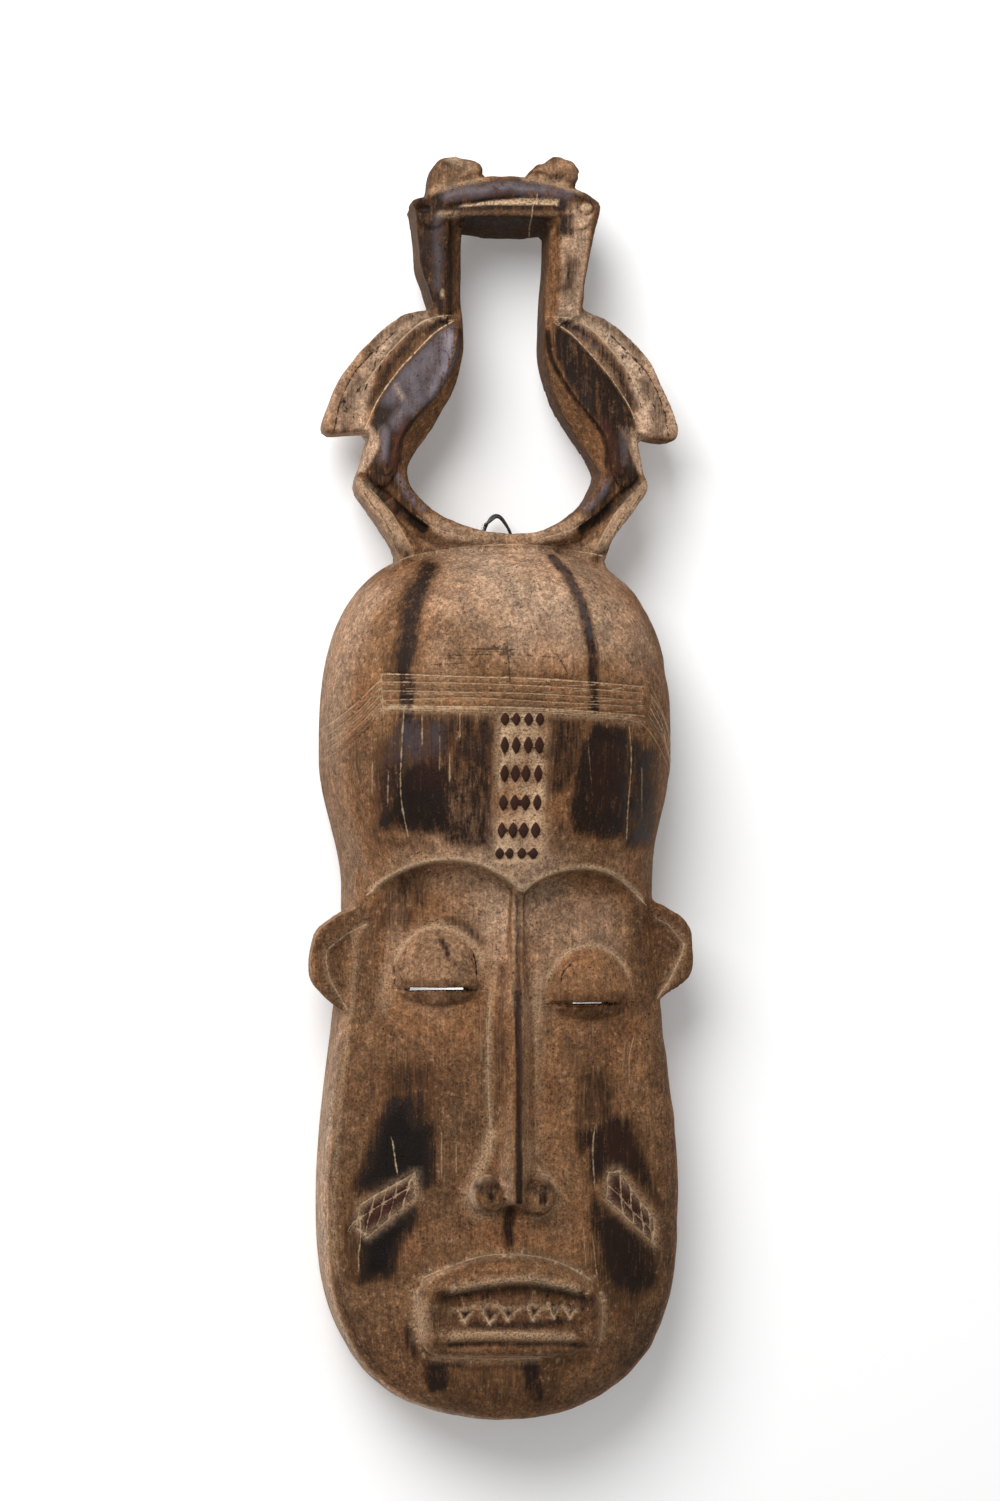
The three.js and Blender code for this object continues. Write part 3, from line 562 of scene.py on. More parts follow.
between_necks = ease(18.6 - np.abs(all_x - 1.1), 0, 1.5) * (all_y > 225)
crest_cut = np.minimum(crest_front, blend(90, under_beak, between_necks))
crest_front = np.where(between_necks > 0, crest_cut, crest_front)
crest_rear = blend(14.2, 17, ease(np.abs(all_x), 40, 50) * ease(all_y, 140, 150) * ease(-all_y, -205, -195))

# Crowns: a rough knob on the head of each bird
KNOBS = [points("-31.5,240 -30.6,250 -30.4,255 -27.9,260 -23.2,263 -16.9,263.6 -11.8,262.3 -8.9,258.7 -8,254.1 "
                "-9,244"),
         points("9.6,244 10.4,255.4 12.4,258.6 16.1,260.5 20.3,263.4 25.4,263.8 30.5,262 32.6,258.7 31.6,254.4 "
                "30.1,250 31,242")]
knob_plan = np.full(chart_size, -20.0)
for outline in KNOBS:
    add_plan(knob_plan, outline, 3)
knob_plan += 0.3 - 0.5 * np.abs(swells(1.6, 1.6))
knob_front = 39.5 - 0.02 * (all_y - 254) ** 2 + 1.5 * swells(2.4, 2.4) + 0.8 * swells(1.1, 1.1)

# Feather lines, the joined beaks and the line where the birds stand on the head
for side in (1, -1):
    for line, half, depth, amount in (
            ("-21.3,196.4 -31.4,194.9 -38.7,190.1 -45.9,182.8 -53.1,174.1 -57.4,168", 1.0, 0.9, 0.6),
            ("-21.6,193.7 -28.8,189.1 -37.4,180.4 -44.6,172.4 -52.5,160.8 -57.6,149.5", 1.1, 1.3, 0.8),
            ("-46,188.6 -54,181 -60.8,174 -65.1,166.8 -68.4,158.2 -70.4,148", 0.8, 0.6, -0.8),
            ("-60,128 -54,125 -46.6,118 -40.4,112.6 -33,108", 1.6, 2, 0)):
        incise(points(smooth_line(line), side=side), half, depth, amount)
    for line, amount in (
            ("-60,128.4 -54.8,122.8 -48.8,116.4 -44.6,110.2 -39,100", 0.4), ("-58,122 -54,116", -0.6),
            ("-51,113 -47,106", -0.5), ("-36,112.6 -28,107.4 -14,103.4", 0.35)):
        dust(points(smooth_line(line), side=side), amount)
    stain(pale, points(smooth_line("-60,126 -54,119 -48,110 -44,102"), side=side), 0.45, 1.2, 3.4)
incise("-45,168.4 -41.8,163.4 -39.4,157", 2, 0.7, 0)
stain(pale, "-45,166.5 -42.4,161.5", 0.5, 0.3, 1.8)
for _ in range(26):
    side, along = chance.choice((-1, 1)), chance.uniform(0, 1)
    off, long = chance.uniform(-4, 5), chance.uniform(0.6, 2)
    x, y = 50 + 17 * along + off, 183 - 31 * along
    dust([(side * x, y), (side * (x + 0.4 * long), y - long)], -0.9)
incise(smooth_line("-23.6,240.6 -12.8,242.6 1.9,243.8 22.4,243.8"), 1.3, 1.3, 0)
stain(pale, "-19,241.3 -6,243.5 8,244.9 22.6,244.9 22.4,242.9 8,242.5 -6,242.3", 1.7, 0, 0.5)
dust(smooth_line("13.5,246.9 13.2,244.8 11.6,241.3 11.5,236.6 12.6,233.7 14.4,231.4 16.8,229"), 0.7)
head_line = smooth_line(
    "-45.9,93.6 -38,96.4 -30.2,98.2 -15.5,100.3 -0.7,101.2 7.7,101.2 24.6,100.2 41.6,96.9")
incise(head_line, 1.2, 0.7, 0.55)
stain(pale, head_line[5:-20], 0.4, 0.5, 1.6)

# How light the bare wood is: tan on the forehead, where it was handled, browner down the face; it also
# holds painted light and shade, noted where each is laid
tone[:] = np.interp(all_y, [-264, -245, -215, -150, -100, -60, -25, 8, 30, 45, 60, 90, 100, 112, 200],
                    [0.28, 0.38, 0.46, 0.4, 0.48, 0.56, 0.54, 0.5, 0.52, 0.54, 0.68, 0.66, 0.6, 0.34, 0.3])
# Painted light and shade: darker towards the sides of the face; on the upper forehead darker on the left, lamp
# side and lighter on the right, evening out how the lamp falls
tone -= np.where(all_y < 30, 0.14, np.where(all_x < 0, 0.22, -0.14)) * (all_x / 70) ** 2 * (all_y < 102)
# Painted shade under the brow arches
tone -= 0.12 * np.exp(-(np.minimum(above_brow + 1, 0) / 4) ** 2) * (above_brow < 0) * ease(-all_y, 25, 32)
tone -= 0.2 * ease(-all_x, 46, 68) * ease(all_y, -60, -20) * ease(-all_y, -50, -10)
tone += 0.08 * swells(16, 22) + 0.04 * swells(5, 7)
shade("10,-45 48,-52 50,-80 14,-76", 0.66, 12)
shade(mouth_opening, 0.2, 1.5)
for outline in EAR_OUTLINES:
    shade(outline, 0.24, 2)
for (x, y, *rest), above, lightness in zip(EYES, LIDS_ABOVE, (0.58, 0.5)):
    shade(oval(x, y + 1, 0.95 * LID_HALF, 0.9 * above, 0, 181, 12), lightness, 2)
for side, wing, body, neck in ((1, 0.86, 0.42, 0.3), (-1, 1.02, 0.55, 0.82)):
    for outline, lightness, soft in (
            (WING, wing, 1.5),
            ("-21.6,193.7 -28.8,189.1 -44.6,172.4 -57.6,149.5 -53.1,174.1 -38.7,190.1", wing - 0.34, 1.5),
            (BODY, body, 1.5), ("-48,193 -61,180 -69,167 -75,147 -70.4,147 -65.1,166.8 -54,181", wing - 0.2, 1),
            (NECK, neck, 1.5), ("-59,150 -48.4,151 -53.6,137 -57,131 -62,131", 0.95, 0.8), (SHIN, 0.72, 0.8),
            ("-38,117 -18,108 0,106 0,100 -16,102 -28,105", 0.68, 2)):
        shade(points(outline, side=side), lightness, soft)
for outline in KNOBS:
    shade(outline, 0.62, 1.5)
    stain(patina_and_shade, smooth_line(outline, closed=True, steps=3), 0.5, 0.8, 2.6)
patina_and_shade = np.maximum(patina_and_shade, ease(knob_plan, 0, 2) * (0.3 + 0.24 * swells(1.8, 1.8)))
# Painted shade: the underside of the joined beaks faces down and is darkened to near black, beyond its own
# brown
shade("-22,239 22,239 20,231 -20,231", 0.06, 1.5)
for line, *sizes in (("-30,247.6 -20,250.8 -8,253.6", 0.4, 0.6, 2), ("9,254 22,252 32,248.6", 0.5, 0.6, 2),
                     ("-21,262 -15,259", 0.5, 1.2, 3)):
    stain(pale, line, *sizes)

# Stains: patina left by smoke and oil. Two drips run down the forehead, dark blocks lie beside the
# stud band and on the cheeks, and the rest gathers round the mouth, on the chin, the beaks and the heads.
drip_left = points("-32,91 -37,83 -41,73 -42,64 -44,56 -46,49")
drip_right = points("20,95 24,88 27,80 29,73 31,62 32,55 32,43 32,32")
for line, *sizes in (
        (smooth_line(drip_left), 0.78, 3, 4.4), (smooth_line(points(drip_left[1:], -1.6, -1)), 0.6, 3.6, 5),
        (smooth_line(drip_left[3:] + points("-44,43 -44,33 -43,10")), 0.86, 2.2, 3),
        (smooth_line(drip_right), 0.88, 1.6, 2.6),
        ("-48,30 -23,31 -25,5 -22,-5 -28,-12 -26,-17 -28,-19 -56,-18 -54,-10 -56,-6 -55,12", 0.78, 0, 6),
        ("-44,12 -27,10 -26,-18 -55,-17 -52,-6", 1.15, 0, 4),
        ("32,27 48,24 48,-20 36,-21 24,-18 22,-7 25,-1 24,9", 1.0, 0, 4.5),
        ("-26,31 -8,31 -9,-26 -30,-24", 0.66, 0, 4), ("46,23 62,16 63,-25 47,-25", 0.76, 0, 6),
        ("12,30 29,28 27,0 12,-4", 0.64, 0, 5), ("12,-8 26,-10 26,-28 14,-28", 0.42, 0, 5),
        ("-58,-18 -30,-20 -32,-27 -56,-26", 0.42, 0, 5),
        ("-48,-128 -40,-127 -38,-138 -31,-137 -31,-162 -35,-164 -38,-160 -62,-168 -64,-164 -58,-154 -54,-138",
         1.28, 0, 5.5),
        ("-50,-112 -31,-113 -29,-138 -38,-142 -50,-135", 0.56, 0, 6),
        ("-59,-178 -61,-204 -48,-201 -45,-188 -38,-177 -39,-172 -57,-184", 1.32, 0, 5),
        ("-64,-170 -60,-182 -62,-205 -67,-205 -68,-182", 0.5, 0, 2.5),
        ("38,-139 43,-135 52,-138 65,-174 61,-173 52,-161 43,-158 36,-165 33,-163 34,-149 30,-151 27,-142",
         0.98, 0, 6),
        ("35,-169 62,-193 63,-208 53,-212 43,-206 34,-179", 1.06, 0, 7),
        ("28,-116 41,-114 49,-134 40,-142 26,-144", 0.54, 0, 6),
        ("34,-180 30,-190 36,-214 48,-226 62,-210", 0.5, 0, 7),
        ("-34,-236 -26,-236 -24,-248 -32,-250 -35,-243", 0.95, 0, 3),
        ("5,-236 13,-236 14,-254 10,-253 6,-247", 0.92, 0, 3),
        ("-44,-218 -39,-224 -37,-238 -42,-230", 0.9, 0, 2), ("-36,-237 0,-238 34,-237", 0.62, 0.8, 3),
        ("-30,-238 26,-238 22,-259 -26,-259", 0.42, 0, 6),
        ("-44,-32 -34,-31 -33,-49 -40,-60 -55,-60 -55,-45", 0.52, 0, 6),
        ("-28,-63 -26,-68 -24,-72", 0.85, 0.8, 1.4), ("-24,-55 -17,-58 -11,-63", 0.6, 1.7, 4),
        (BEAK_FRONT, 0.85, 0, 2), ("-34,245 -16,252 8,254 30,250 39,244 26,243 0,244 -26,240", 0.8, 0, 2.6),
        ("-22,238 22,238 19,235 -20,234", 0.75, 0, 1.6),
        ("-44,248 -20,242 -21,194 -27,196 -36,203", 0.72, 0, 3), ("23,239 29,239 29,230 22,230", 0.9, 0, 2.4),
        ("25,223 32,222 31,212 26,203 21,207", 0.62, 0, 5), ("22,240 38,248", 0.5, 1.5, 3),
        ("-36,240 -32,240", 1.0, 1.5, 1.2)):
    stain(patina_and_shade, line, *sizes)

# The rest of the painted sheen (grey painted highlights), the red and the pale, and the thin cuts and scratches
for row in (
        (painted_sheen, smooth_line(drip_right[:5]), 0.3, 1.2, 2),
        (painted_sheen, "-50,26 -40,29 -26,28 -28,14 -44,8 -58,10", 0.24, 0, 6),
        (painted_sheen, [(x, y) for x, y in BODY if y > 152], 0.5, 0, 4),
        (painted_sheen, "-23,187 -24,176 -30,165", 1.3, 1, 7), (painted_sheen, "-41,160 -45,151", 0.9, 1, 5),
        (painted_sheen, "-28,236 -28,208", 0.35, 1.4, 4), (painted_sheen, "-24,246 2,250 26,248", 0.6, 1.6, 4),
        (painted_sheen, "30,189 38,183", 0.5, 1, 3), (red, "-42,24 -26,22 -26,0 -42,0", 0.42, 0, 8),
        (red, "-58,20 -48,20 -48,-12 -56,-10", 0.36, 0, 6), (red, "32,20 46,20 46,-10 30,-10", 0.3, 0, 6),
        (red, "38,-136 54,-140 56,-156 40,-160", 0.36, 0, 7),
        (red, "-27,238 -18,239 0,239 25,239", 0.8, 0.4, 1.2), (red, "-20,245 0,247 24,247", 0.5, 0.6, 2),
        (pale, "-27,238 -20,238", 0.5, 0.8, 1.6), (pale, "-21,238 0,239 22,239", 0.36, 0.3, 1),
        (pale, "-26,206 -26,204", 0.9, 0.3, 1), (pale, "34,242 35,242", 0.8, 1, 1.2)):
    stain(*row)
for line in ("-45,32 -46,14 -46,-3 -43,-19", "48,25 49,12 48,-10 48,-21"):
    incise(smooth_line(line), 0.7, 0.5, 0.45)
for line, amount in (
        ("-23,30 -23,21", 0.8), ("-27,14 -27,3", 0.6), ("-38,30 -38,18", 0.6), ("-48,-145 -46,-158", 0.85),
        ("-22,-146 -22,-158", 0.4), ("-28,-142 -28,-160", 0.5), ("-57,10 -57,-2", 0.5), ("-51,6 -51,-6", 0.5),
        ("-31,20 -31,8", 0.35), ("36,-140 35,-150 36,-166", 0.6), ("49,-106 48,-116", 0.5),
        ("53,-104 51,-112 51,-123", 0.6), ("35,-186 37,-204", 0.5), ("31,-182 32,-196", 0.4),
        ("-12,-90 -12,-112", 0.25), ("30,16 31,4", 0.3), ("54,8 55,-10", 0.4)):
    dust(smooth_line(line), 0.7 * amount)
for line, amount in (
        ("25,-73 22,-76 21,-80", -1), ("-15,-67 -14,-73 -14,-77", -0.9), ("-47,-74 -47,-80", -0.8)):
    dust(smooth_line(line), amount)
for side, amount in ((-1, 0.9), (1, 0.82)):
    stain(patina_and_shade, points(BODY, side=-side), amount, 0, 2.4)
    for chart, line, *sizes in (
            (patina_and_shade, FOOT[:5] + FOOT[11:], 0.66, 0, 3),
            (patina_and_shade, "49,152 44,150 43.6,130 50,123 59,126 57.6,132 53.4,139", 0.68 + 0.06 * side, 0, 1.4),
            (patina_and_shade, "56,126 47,118 40.4,113 33,108", 1.1, 1.5, 2.4),
            (patina_and_shade, smooth_line("18.4,190 19.6,180 23.4,172 30,162 37.6,153 41.8,147 43.6,140 43.4,134"),
             0.95, 0.5, 1.6),
            (patina_and_shade, smooth_line("24,194 34,190 41,183 49,173 55,160"), 0.66, 1.8, 4),
            (patina_and_shade, "46,102 40,96", 0.6, 1.5, 4), (patina_and_shade, smooth_line("34,198 46,192 58,182"), 0.5, 1.4, 4),
            (patina_and_shade, smooth_line("60,170 65,160 66,149"), 0.45, 2.5, 5),
            (patina_and_shade, "73.6,148 57,148", 0.6, 0.4, 1.8), (red, "42,152 45,144 46,132", 0.9, 1.1, 3),
            # Painted sheen: grey painted highlights on each leg
            (painted_sheen, "43,129 40,123 34,117", 0.85, 1.4, 3),
            (painted_sheen, "50,148 51,136", 0.55 - 0.1 * side, 1.2, 3)):
        stain(chart, points(line, side=side), *sizes)

# The eyes of the two birds, and the worn corner of the left cheek
incise("-36,240 -32,240", 1.6, 1.6, 0)
right_eye = oval(34.4, 241.8, 3, 2.8, 0, 361, 24)
incise(right_eye, 1.1, 1.0, 0)
stain(patina_and_shade, right_eye, 0.8, 0.3, 1)
corner = np.array([(-0.945 * half_width(y), y) for y in np.arange(-60, -250, -6)])
corner[:, 0] *= (1 - np.clip((WIDEST - corner[:, 1]) / 82, 0, 0.99) ** CHIN_ROUND) ** (1 / CHIN_ROUND)
corner = smooth_line(corner + chance.normal(0, 0.4, corner.shape))
stain(pale, corner[:120], 0.45, 0.3, 1.6)
dust(corner[70:], -0.4)


def wood(x, y, z):
    """How far a place lies outside the wood, in mm, without the fine cuts; below zero inside."""
    forehead = further(forehead_form(x, y, z), -read(above_brow, x, y), 0.9)
    face = face_form(x, y, z - read(lift, x, y))
    middle = 1 - ease(np.abs(x), 40, 60)
    head = nearer(face, forehead, 1.0 + 11 * middle * ease(-y, -10, 30))
    crest = further(-read(crest_plan, x, y), z - read(crest_front, x, y), 1.1)
    crest = further(crest, read(crest_rear, x, y) - z, 2)
    knob = further(further(-read(knob_plan, x, y), z - read(knob_front, x, y), 3), 19 - z, 3)
    ear = further(further(-read(ear_plan, x, y), z - read(ear_front, x, y), 1.3), 24 - z, 3)
    whole = nearer(nearer(head, nearer(crest, knob, 1.2), 2.2), ear, 1.6)
    return further(further(whole, -behind(x, y, z), 3), 0.02 - z, 2.5)


adze = 0.55 * swells(5, 7) + 0.25 * swells(2.2, 2.8)


def behind(x, y, z):
    """The hollow for the wearer's face, as a field that is negative in it."""
    u, v, w = x / 0.83, (y + 81) / 0.93 - 81, (z + 0.5) / 0.8
    hollow = blend(face_form(u, v, w), forehead_form(u, v, w), ease(v, -63, -18))
    return 0.8 * hollow + read(adze, x, y)


# The first skin: one corner in each cell of a grid that the surface passes through, in the middle of
# the places where it crosses the cell's edges, and a face round each edge that it crosses
CELL = 5.2
GRID_LOW = np.array([-88.5, -272.0, -7.8])
grid = [np.arange(low, high, CELL) for low, high in zip(GRID_LOW, (90, 274, 96))]
field = wood(*np.meshgrid(*grid, indexing="ij"))
cells = tuple(n - 1 for n in field.shape)
total, crossings = np.zeros(cells + (3,)), np.zeros(cells)
for axis in range(3):
    others = [a for a in range(3) if a != axis]
    for near in ((0, 0), (0, 1), (1, 0), (1, 1)):
        start = [0, 0, 0]
        start[others[0]], start[others[1]] = near
        end = list(start)
        end[axis] = 1
        a = field[tuple(slice(s, s + n) for s, n in zip(start, cells))]
        b = field[tuple(slice(s, s + n) for s, n in zip(end, cells))]
        crossed = (a < 0) != (b < 0)
        corner = np.array(start, float) + np.zeros(cells + (3,))
        corner[..., axis] += np.where(crossed, a / np.where(a == b, 1, a - b), 0)
        total += corner * crossed[..., None]
        crossings += crossed
mixed = crossings > 0
number = np.full(cells, -1)
number[mixed] = np.arange(mixed.sum())
spots = np.argwhere(mixed) + total[mixed] / crossings[mixed][:, None]
spots = GRID_LOW + CELL * spots
quads = []
for axis in range(3):
    one, two = (axis + 1) % 3, (axis + 2) % 3
    inner = [slice(1, -1)] * 3
    inner[axis] = slice(0, -1)
    after = list(inner)
    after[axis] = slice(1, None)
    a, b = field[tuple(inner)], field[tuple(after)]
    edges = np.argwhere((a < 0) != (b < 0))
    leaving = (a < 0)[tuple(edges.T)]
    base = edges + [0 if k == axis else 1 for k in range(3)]
    ring = []
    for back_one, back_two in ((1, 1), (0, 1), (0, 0), (1, 0)):
        cell = base.copy()
        cell[:, one] -= back_one
        cell[:, two] -= back_two
        ring.append(number[tuple(cell.T)])
    ring = np.stack(ring, 1)
    ring[~leaving] = ring[~leaving][:, ::-1]
    quads.append(ring)
quads = np.vstack(quads)

mask_mesh = bpy.data.meshes.new("mask")
mask_mesh.from_pydata(spots * MM, [], quads.tolist())
mask = place_in_scene("carved_mask", mask_mesh)
bpy.context.view_layer.objects.active = mask
mask.select_set(True)


def corners():
    places = np.empty(len(mask_mesh.vertices) * 3)
    mask_mesh.vertices.foreach_get("co", places)
    return places.reshape(-1, 3) / MM


def put(places):
    mask_mesh.vertices.foreach_set("co", (places * MM).ravel())
    mask_mesh.update()


def slope_at(places, reach=0.12):
    """The field's slope at each place."""
    return np.stack([wood(*(places + step).T) - wood(*(places - step).T)
                     for step in reach * np.eye(3)], 1) / (2 * reach)


def outward(places):
    slope = slope_at(places)
    return slope / np.maximum(np.linalg.norm(slope, axis=1), 1e-6)[:, None]


def settle(rounds):
    """Moves every corner onto the surface of the wood."""
    places = corners()
    for _ in range(rounds):
        slope = slope_at(places)
        move = -wood(*places.T)[:, None] * slope / np.maximum((slope ** 2).sum(1), 0.3)[:, None]
        length = np.linalg.norm(move, axis=1)[:, None]
        places += move * np.minimum(1, 1.2 / np.maximum(length, 1e-9))
    put(places)


def refine(wanted):
    """Splits each face that the test picks into four."""
    centres = np.empty(len(mask_mesh.polygons) * 3)
    mask_mesh.polygons.foreach_get("center", centres)
    centres = centres.reshape(-1, 3) / MM
    for parts in (mask_mesh.vertices, mask_mesh.edges):
        parts.foreach_set("select", np.zeros(len(parts), bool))
    mask_mesh.polygons.foreach_set("select", (behind(*centres.T) > 1.6) & wanted(*centres.T))
    bpy.ops.object.mode_set(mode="EDIT")
    bpy.context.tool_settings.mesh_select_mode = (False, False, True)
    bpy.ops.mesh.subdivide(number_cuts=1, ngon=False)
    bpy.ops.object.mode_set(mode="OBJECT")


def steepness(chart):
    along, across = np.gradient(chart, CHART_STEP)
    return np.hypot(along, across)


def nearby(marked, reach_mm):
    """Marks every place of a chart that has a marked one within reach of it."""
    reach = round(reach_mm / CHART_STEP)
    sums = np.cumsum(np.cumsum(np.pad(marked.astype(float), ((reach + 1, reach), (reach + 1, reach))), 0), 1)
    wide = 2 * reach + 1
    upper, lower = sums[wide:], sums[:-wide]
    marks = upper[:, wide:] - lower[:, wide:] - upper[:, :-wide] + lower[:, :-wide]
    return (marks > 0.5).astype(float)


cut_relief = grooves + steps_down
brow_near = np.where(all_y < 0, np.abs(above_brow), 99)
crest_bend = steepness(steepness(crest_front)) * (crest_plan > 0.5)
fine = nearby((steepness(cut_relief) > 0.5) | (steepness(steepness(lift)) > 1.3) | (brow_near < 1)
              | (nearby(crest_bend > 0.8, 0.5) > 0) | (np.abs(line_dust_and_shade) > 0.25), 0.15)
medium = nearby((steepness(cut_relief) > 0.2) | (steepness(lift) > 0.45) | (brow_near < 5)
                | (np.abs(line_dust_and_shade) > 0.1), 0.6)

bpy.ops.object.mode_set(mode="EDIT")
bpy.ops.mesh.select_all(action="SELECT")
bpy.ops.mesh.vertices_smooth(factor=0.5, repeat=1)
bpy.ops.object.mode_set(mode="OBJECT")
settle(5)
refine(lambda x, y, z: z > -9)
settle(4)
refine(lambda x, y, z: (z > 30) & ((y > 95) | (read(medium, x, y) > 0.5)))
settle(3)
refine(lambda x, y, z: (z > 30) & (read(fine, x, y) > 0.5))
settle(3)

# Fine cuts, tool marks and grain, pressed in along the surface's own direction
tool_marks = 0.16 * swells(4, 6) + 0.10 * swells(1.6, 3) + 0.05 * swells(0.7, 2.4)
places = corners()
x, y, z = places.T
normal = outward(places)
outside = ease(behind(x, y, z), 1, 4) * ease(z, 3, 8)
facing = outside * ease(normal[:, 2], 0.05, 0.4)
depth = read(cut_relief, x, y) * facing + read(tool_marks, x, y) * outside
places += normal * depth[:, None]
low, high = np.array(cad_box[0]) / MM, np.array(cad_box[1]) / MM
put(np.clip(places, low + 0.02, high - 0.02))


def cut_through(cutter):
    """Takes a cutter away from the mask."""
    bpy.context.view_layer.objects.active = mask
    opening = mask.modifiers.new("cut", "BOOLEAN")
    opening.operation = "DIFFERENCE"
    opening.solver = "MANIFOLD"
    opening.object = cutter
    bpy.ops.object.modifier_apply(modifier=opening.name)
    bpy.data.objects.remove(cutter)


# The open part of each eye slit, which flares towards the back, and the two holes for the hanging wire
for x, y, _, open_half, open_high in EYES:
    for low, high, flare in ((0, 90, 1), (30, 61, 7)):
        bpy.ops.mesh.primitive_cube_add(size=MM, location=(x * MM, y * MM, (low + high) / 2 * MM))
        cutter = bpy.context.object
        cutter.scale = (2 * open_half, open_high, high - low)
        bpy.ops.object.transform_apply(location=True, rotation=True, scale=True)
        for corner in cutter.data.vertices[:]:
            if corner.co.z < (low + 1) * MM:
                corner.co.y = y * MM + flare * (corner.co.y - y * MM)
        cut_through(cutter)
WIRE_LEFT, WIRE_RIGHT, WIRE_HIGH = -5.2, 7.4, 9.05
HOLE_HALF_WIDE, HOLE_HALF_HIGH = 1.7, 2.6
for x in (WIRE_LEFT, WIRE_RIGHT):
    bpy.ops.mesh.primitive_cylinder_add(vertices=20, radius=MM, depth=30 * MM, rotation=(math.pi / 2, 0, 0),
                                        location=(x * MM, 93 * MM, WIRE_HIGH * MM))
    cutter = bpy.context.object
    cutter.scale = (HOLE_HALF_WIDE, HOLE_HALF_HIGH, 1)
    bpy.ops.object.transform_apply(location=True, rotation=True, scale=True)
    cut_through(cutter)
bpy.context.view_layer.objects.active = mask
mask_mesh = mask.data

# What the surface is at each corner, for the material to read. The head's upright walls get painted light:
# lighter on the left walls, which face the lamp, and painted shade on the right ones.
places = corners()
x, y, z = places.T
upward = outward(places)[:, 2]
upright = 1 - ease(upward, 0.3, 0.6)
in_hollow = 1 - ease(behind(x, y, z), 0.5, 3)
facing = (1 - in_hollow) * ease(upward, -0.1, 0.25)
wall_painted_light = blend(np.interp(y, [-160, -90, 0, 60], [0.92, 0.66, 0.58, 0.74]), 0.45, ease(x, -20, 20))
lightness = blend(read(tone, x, y), wall_painted_light, upright * ease(92 - y, 0, 14))
crest_wall = upright * ease(y, 104, 114) * (np.abs(x) < 44)
looks = {"patina_and_shade": np.maximum(read(patina_and_shade, x, y) * facing, 0.45 * crest_wall), "lightness": lightness,
         "stud": read(stud, x, y), "line_gap": np.clip(read(line_gap, x, y), -3, 3), "in_hollow": in_hollow}
for name, chart in (("pale", pale), ("red", red), ("line_dust_and_shade", line_dust_and_shade), ("painted_sheen", painted_sheen)):
    looks[name] = read(chart, x, y) * facing
for name, values in looks.items():
    layer = mask_mesh.attributes.new(name, "FLOAT", "POINT")
    layer.data.foreach_set("value", values.astype(np.float32))
mask_mesh.polygons.foreach_set("use_smooth", np.ones(len(mask_mesh.polygons), bool))


def colour(code):
    """A colour of the shader from its sRGB hex value."""
    parts = [int(code[i:i + 2], 16) / 255 for i in (1, 3, 5)]
    return [c / 12.92 if c <= 0.04045 else ((c + 0.055) / 1.055) ** 2.4 for c in parts] + [1]


def new_material(name):
    """A material with its tree and the sockets of its shader."""
    made = bpy.data.materials.new(name)
    made.use_nodes = True
    return made, made.node_tree, made.node_tree.nodes["Principled BSDF"].inputs


def add(kind, inputs, output=0, **settings):
    """Adds a node with its settings to the tree, gives its inputs values or links, and returns an output."""
    made = tree.nodes.new("ShaderNode" + kind)
    for name, value in settings.items():
        setattr(made, name, value)
    for name, value in inputs.items():
        if isinstance(value, bpy.types.NodeSocket):
            tree.links.new(value, made.inputs[name])
        else:
            made.inputs[name].default_value = value
    return made.outputs[output]


def cover(under, over, what, low=0, high=1, most=1, thinned=None):
    """Lays a colour over another where a texture or stain is high, thinned out by a second one."""
    share = add("MapRange", {"Value": what, "From Min": low, "From Max": high, "To Max": most})
    if thinned:
        share = add("Math", {0: share, 1: thinned}, operation="MULTIPLY", use_clamp=True)
    under, over = (colour(c) if isinstance(c, str) else c for c in (under, over))
    return add("Mix", {0: share, 6: under, 7: over}, 2, data_type="RGBA")


# Light hardwood, oiled and darkened by smoke, then rubbed bare again: dull fibrous tan where it is
# bare, a satin brown-black where the old patina holds, pale dust in the cuts.
wood_material, tree, shader = new_material("carved hardwood with worn smoke patina")
where = add("TexCoord", {}, "Object")
surface = {name: add("Attribute", {}, "Fac", attribute_name=name) for name in looks}

# Textures of the wood: each one's width in mm, how many times longer it runs along the mask, its
# detail and roughness
texture = {}
for name, wide, long, detail, rough in (
        ("grain", 1.0, 16, 4, 0.6), ("fibre", 0.5, 24, 2, 0.5), ("stipple", 1.0, 1, 3, 0.8),
        ("speck", 2.2, 1.2, 3, 0.7), ("mottle", 7, 1.4, 6, 0.7), ("cloud", 30, 1.3, 4, 0.55),
        ("streak", 2.8, 7, 6, 0.7), ("ragged", 6, 1.6, 8, 0.75)):
    stretched = add("Mapping", {"Vector": where, "Location": (0.01 * len(texture), 0, 0),
                                "Scale": (1, 1 / long, 1)})
    texture[name] = add("TexNoise", {"Vector": stretched, "Scale": 1 / (wide * MM), "Detail": detail,
                                     "Roughness": rough}, "Fac")

# Bare wood: brown to tan, then worn lighter and darker by each texture
skin = cover("#3a291c", "#7a583c", surface["lightness"], 0, 0.5)
skin = cover(skin, "#b0967f", surface["lightness"], 0.5)
skin = cover(skin, cover("#3a2a1e", "#77593d", texture["mottle"]), surface["in_hollow"])
for name, low, high, dim, bright in (("stipple", 0.32, 0.68, 0.54, 1.5), ("grain", 0.35, 0.68, 1.12, 0.82),
                                     ("speck", 0.34, 0.66, 0.66, 1.32), ("mottle", 0.34, 0.66, 0.66, 1.3),
                                     ("cloud", 0.35, 0.65, 0.84, 1.14)):
    worn = add("MapRange", {"Value": texture[name], "From Min": low, "From Max": high, "To Min": dim,
                            "To Max": bright})
    skin = add("Mix", {0: 1.0, 6: skin, 7: worn}, 2, data_type="RGBA", blend_type="MULTIPLY")

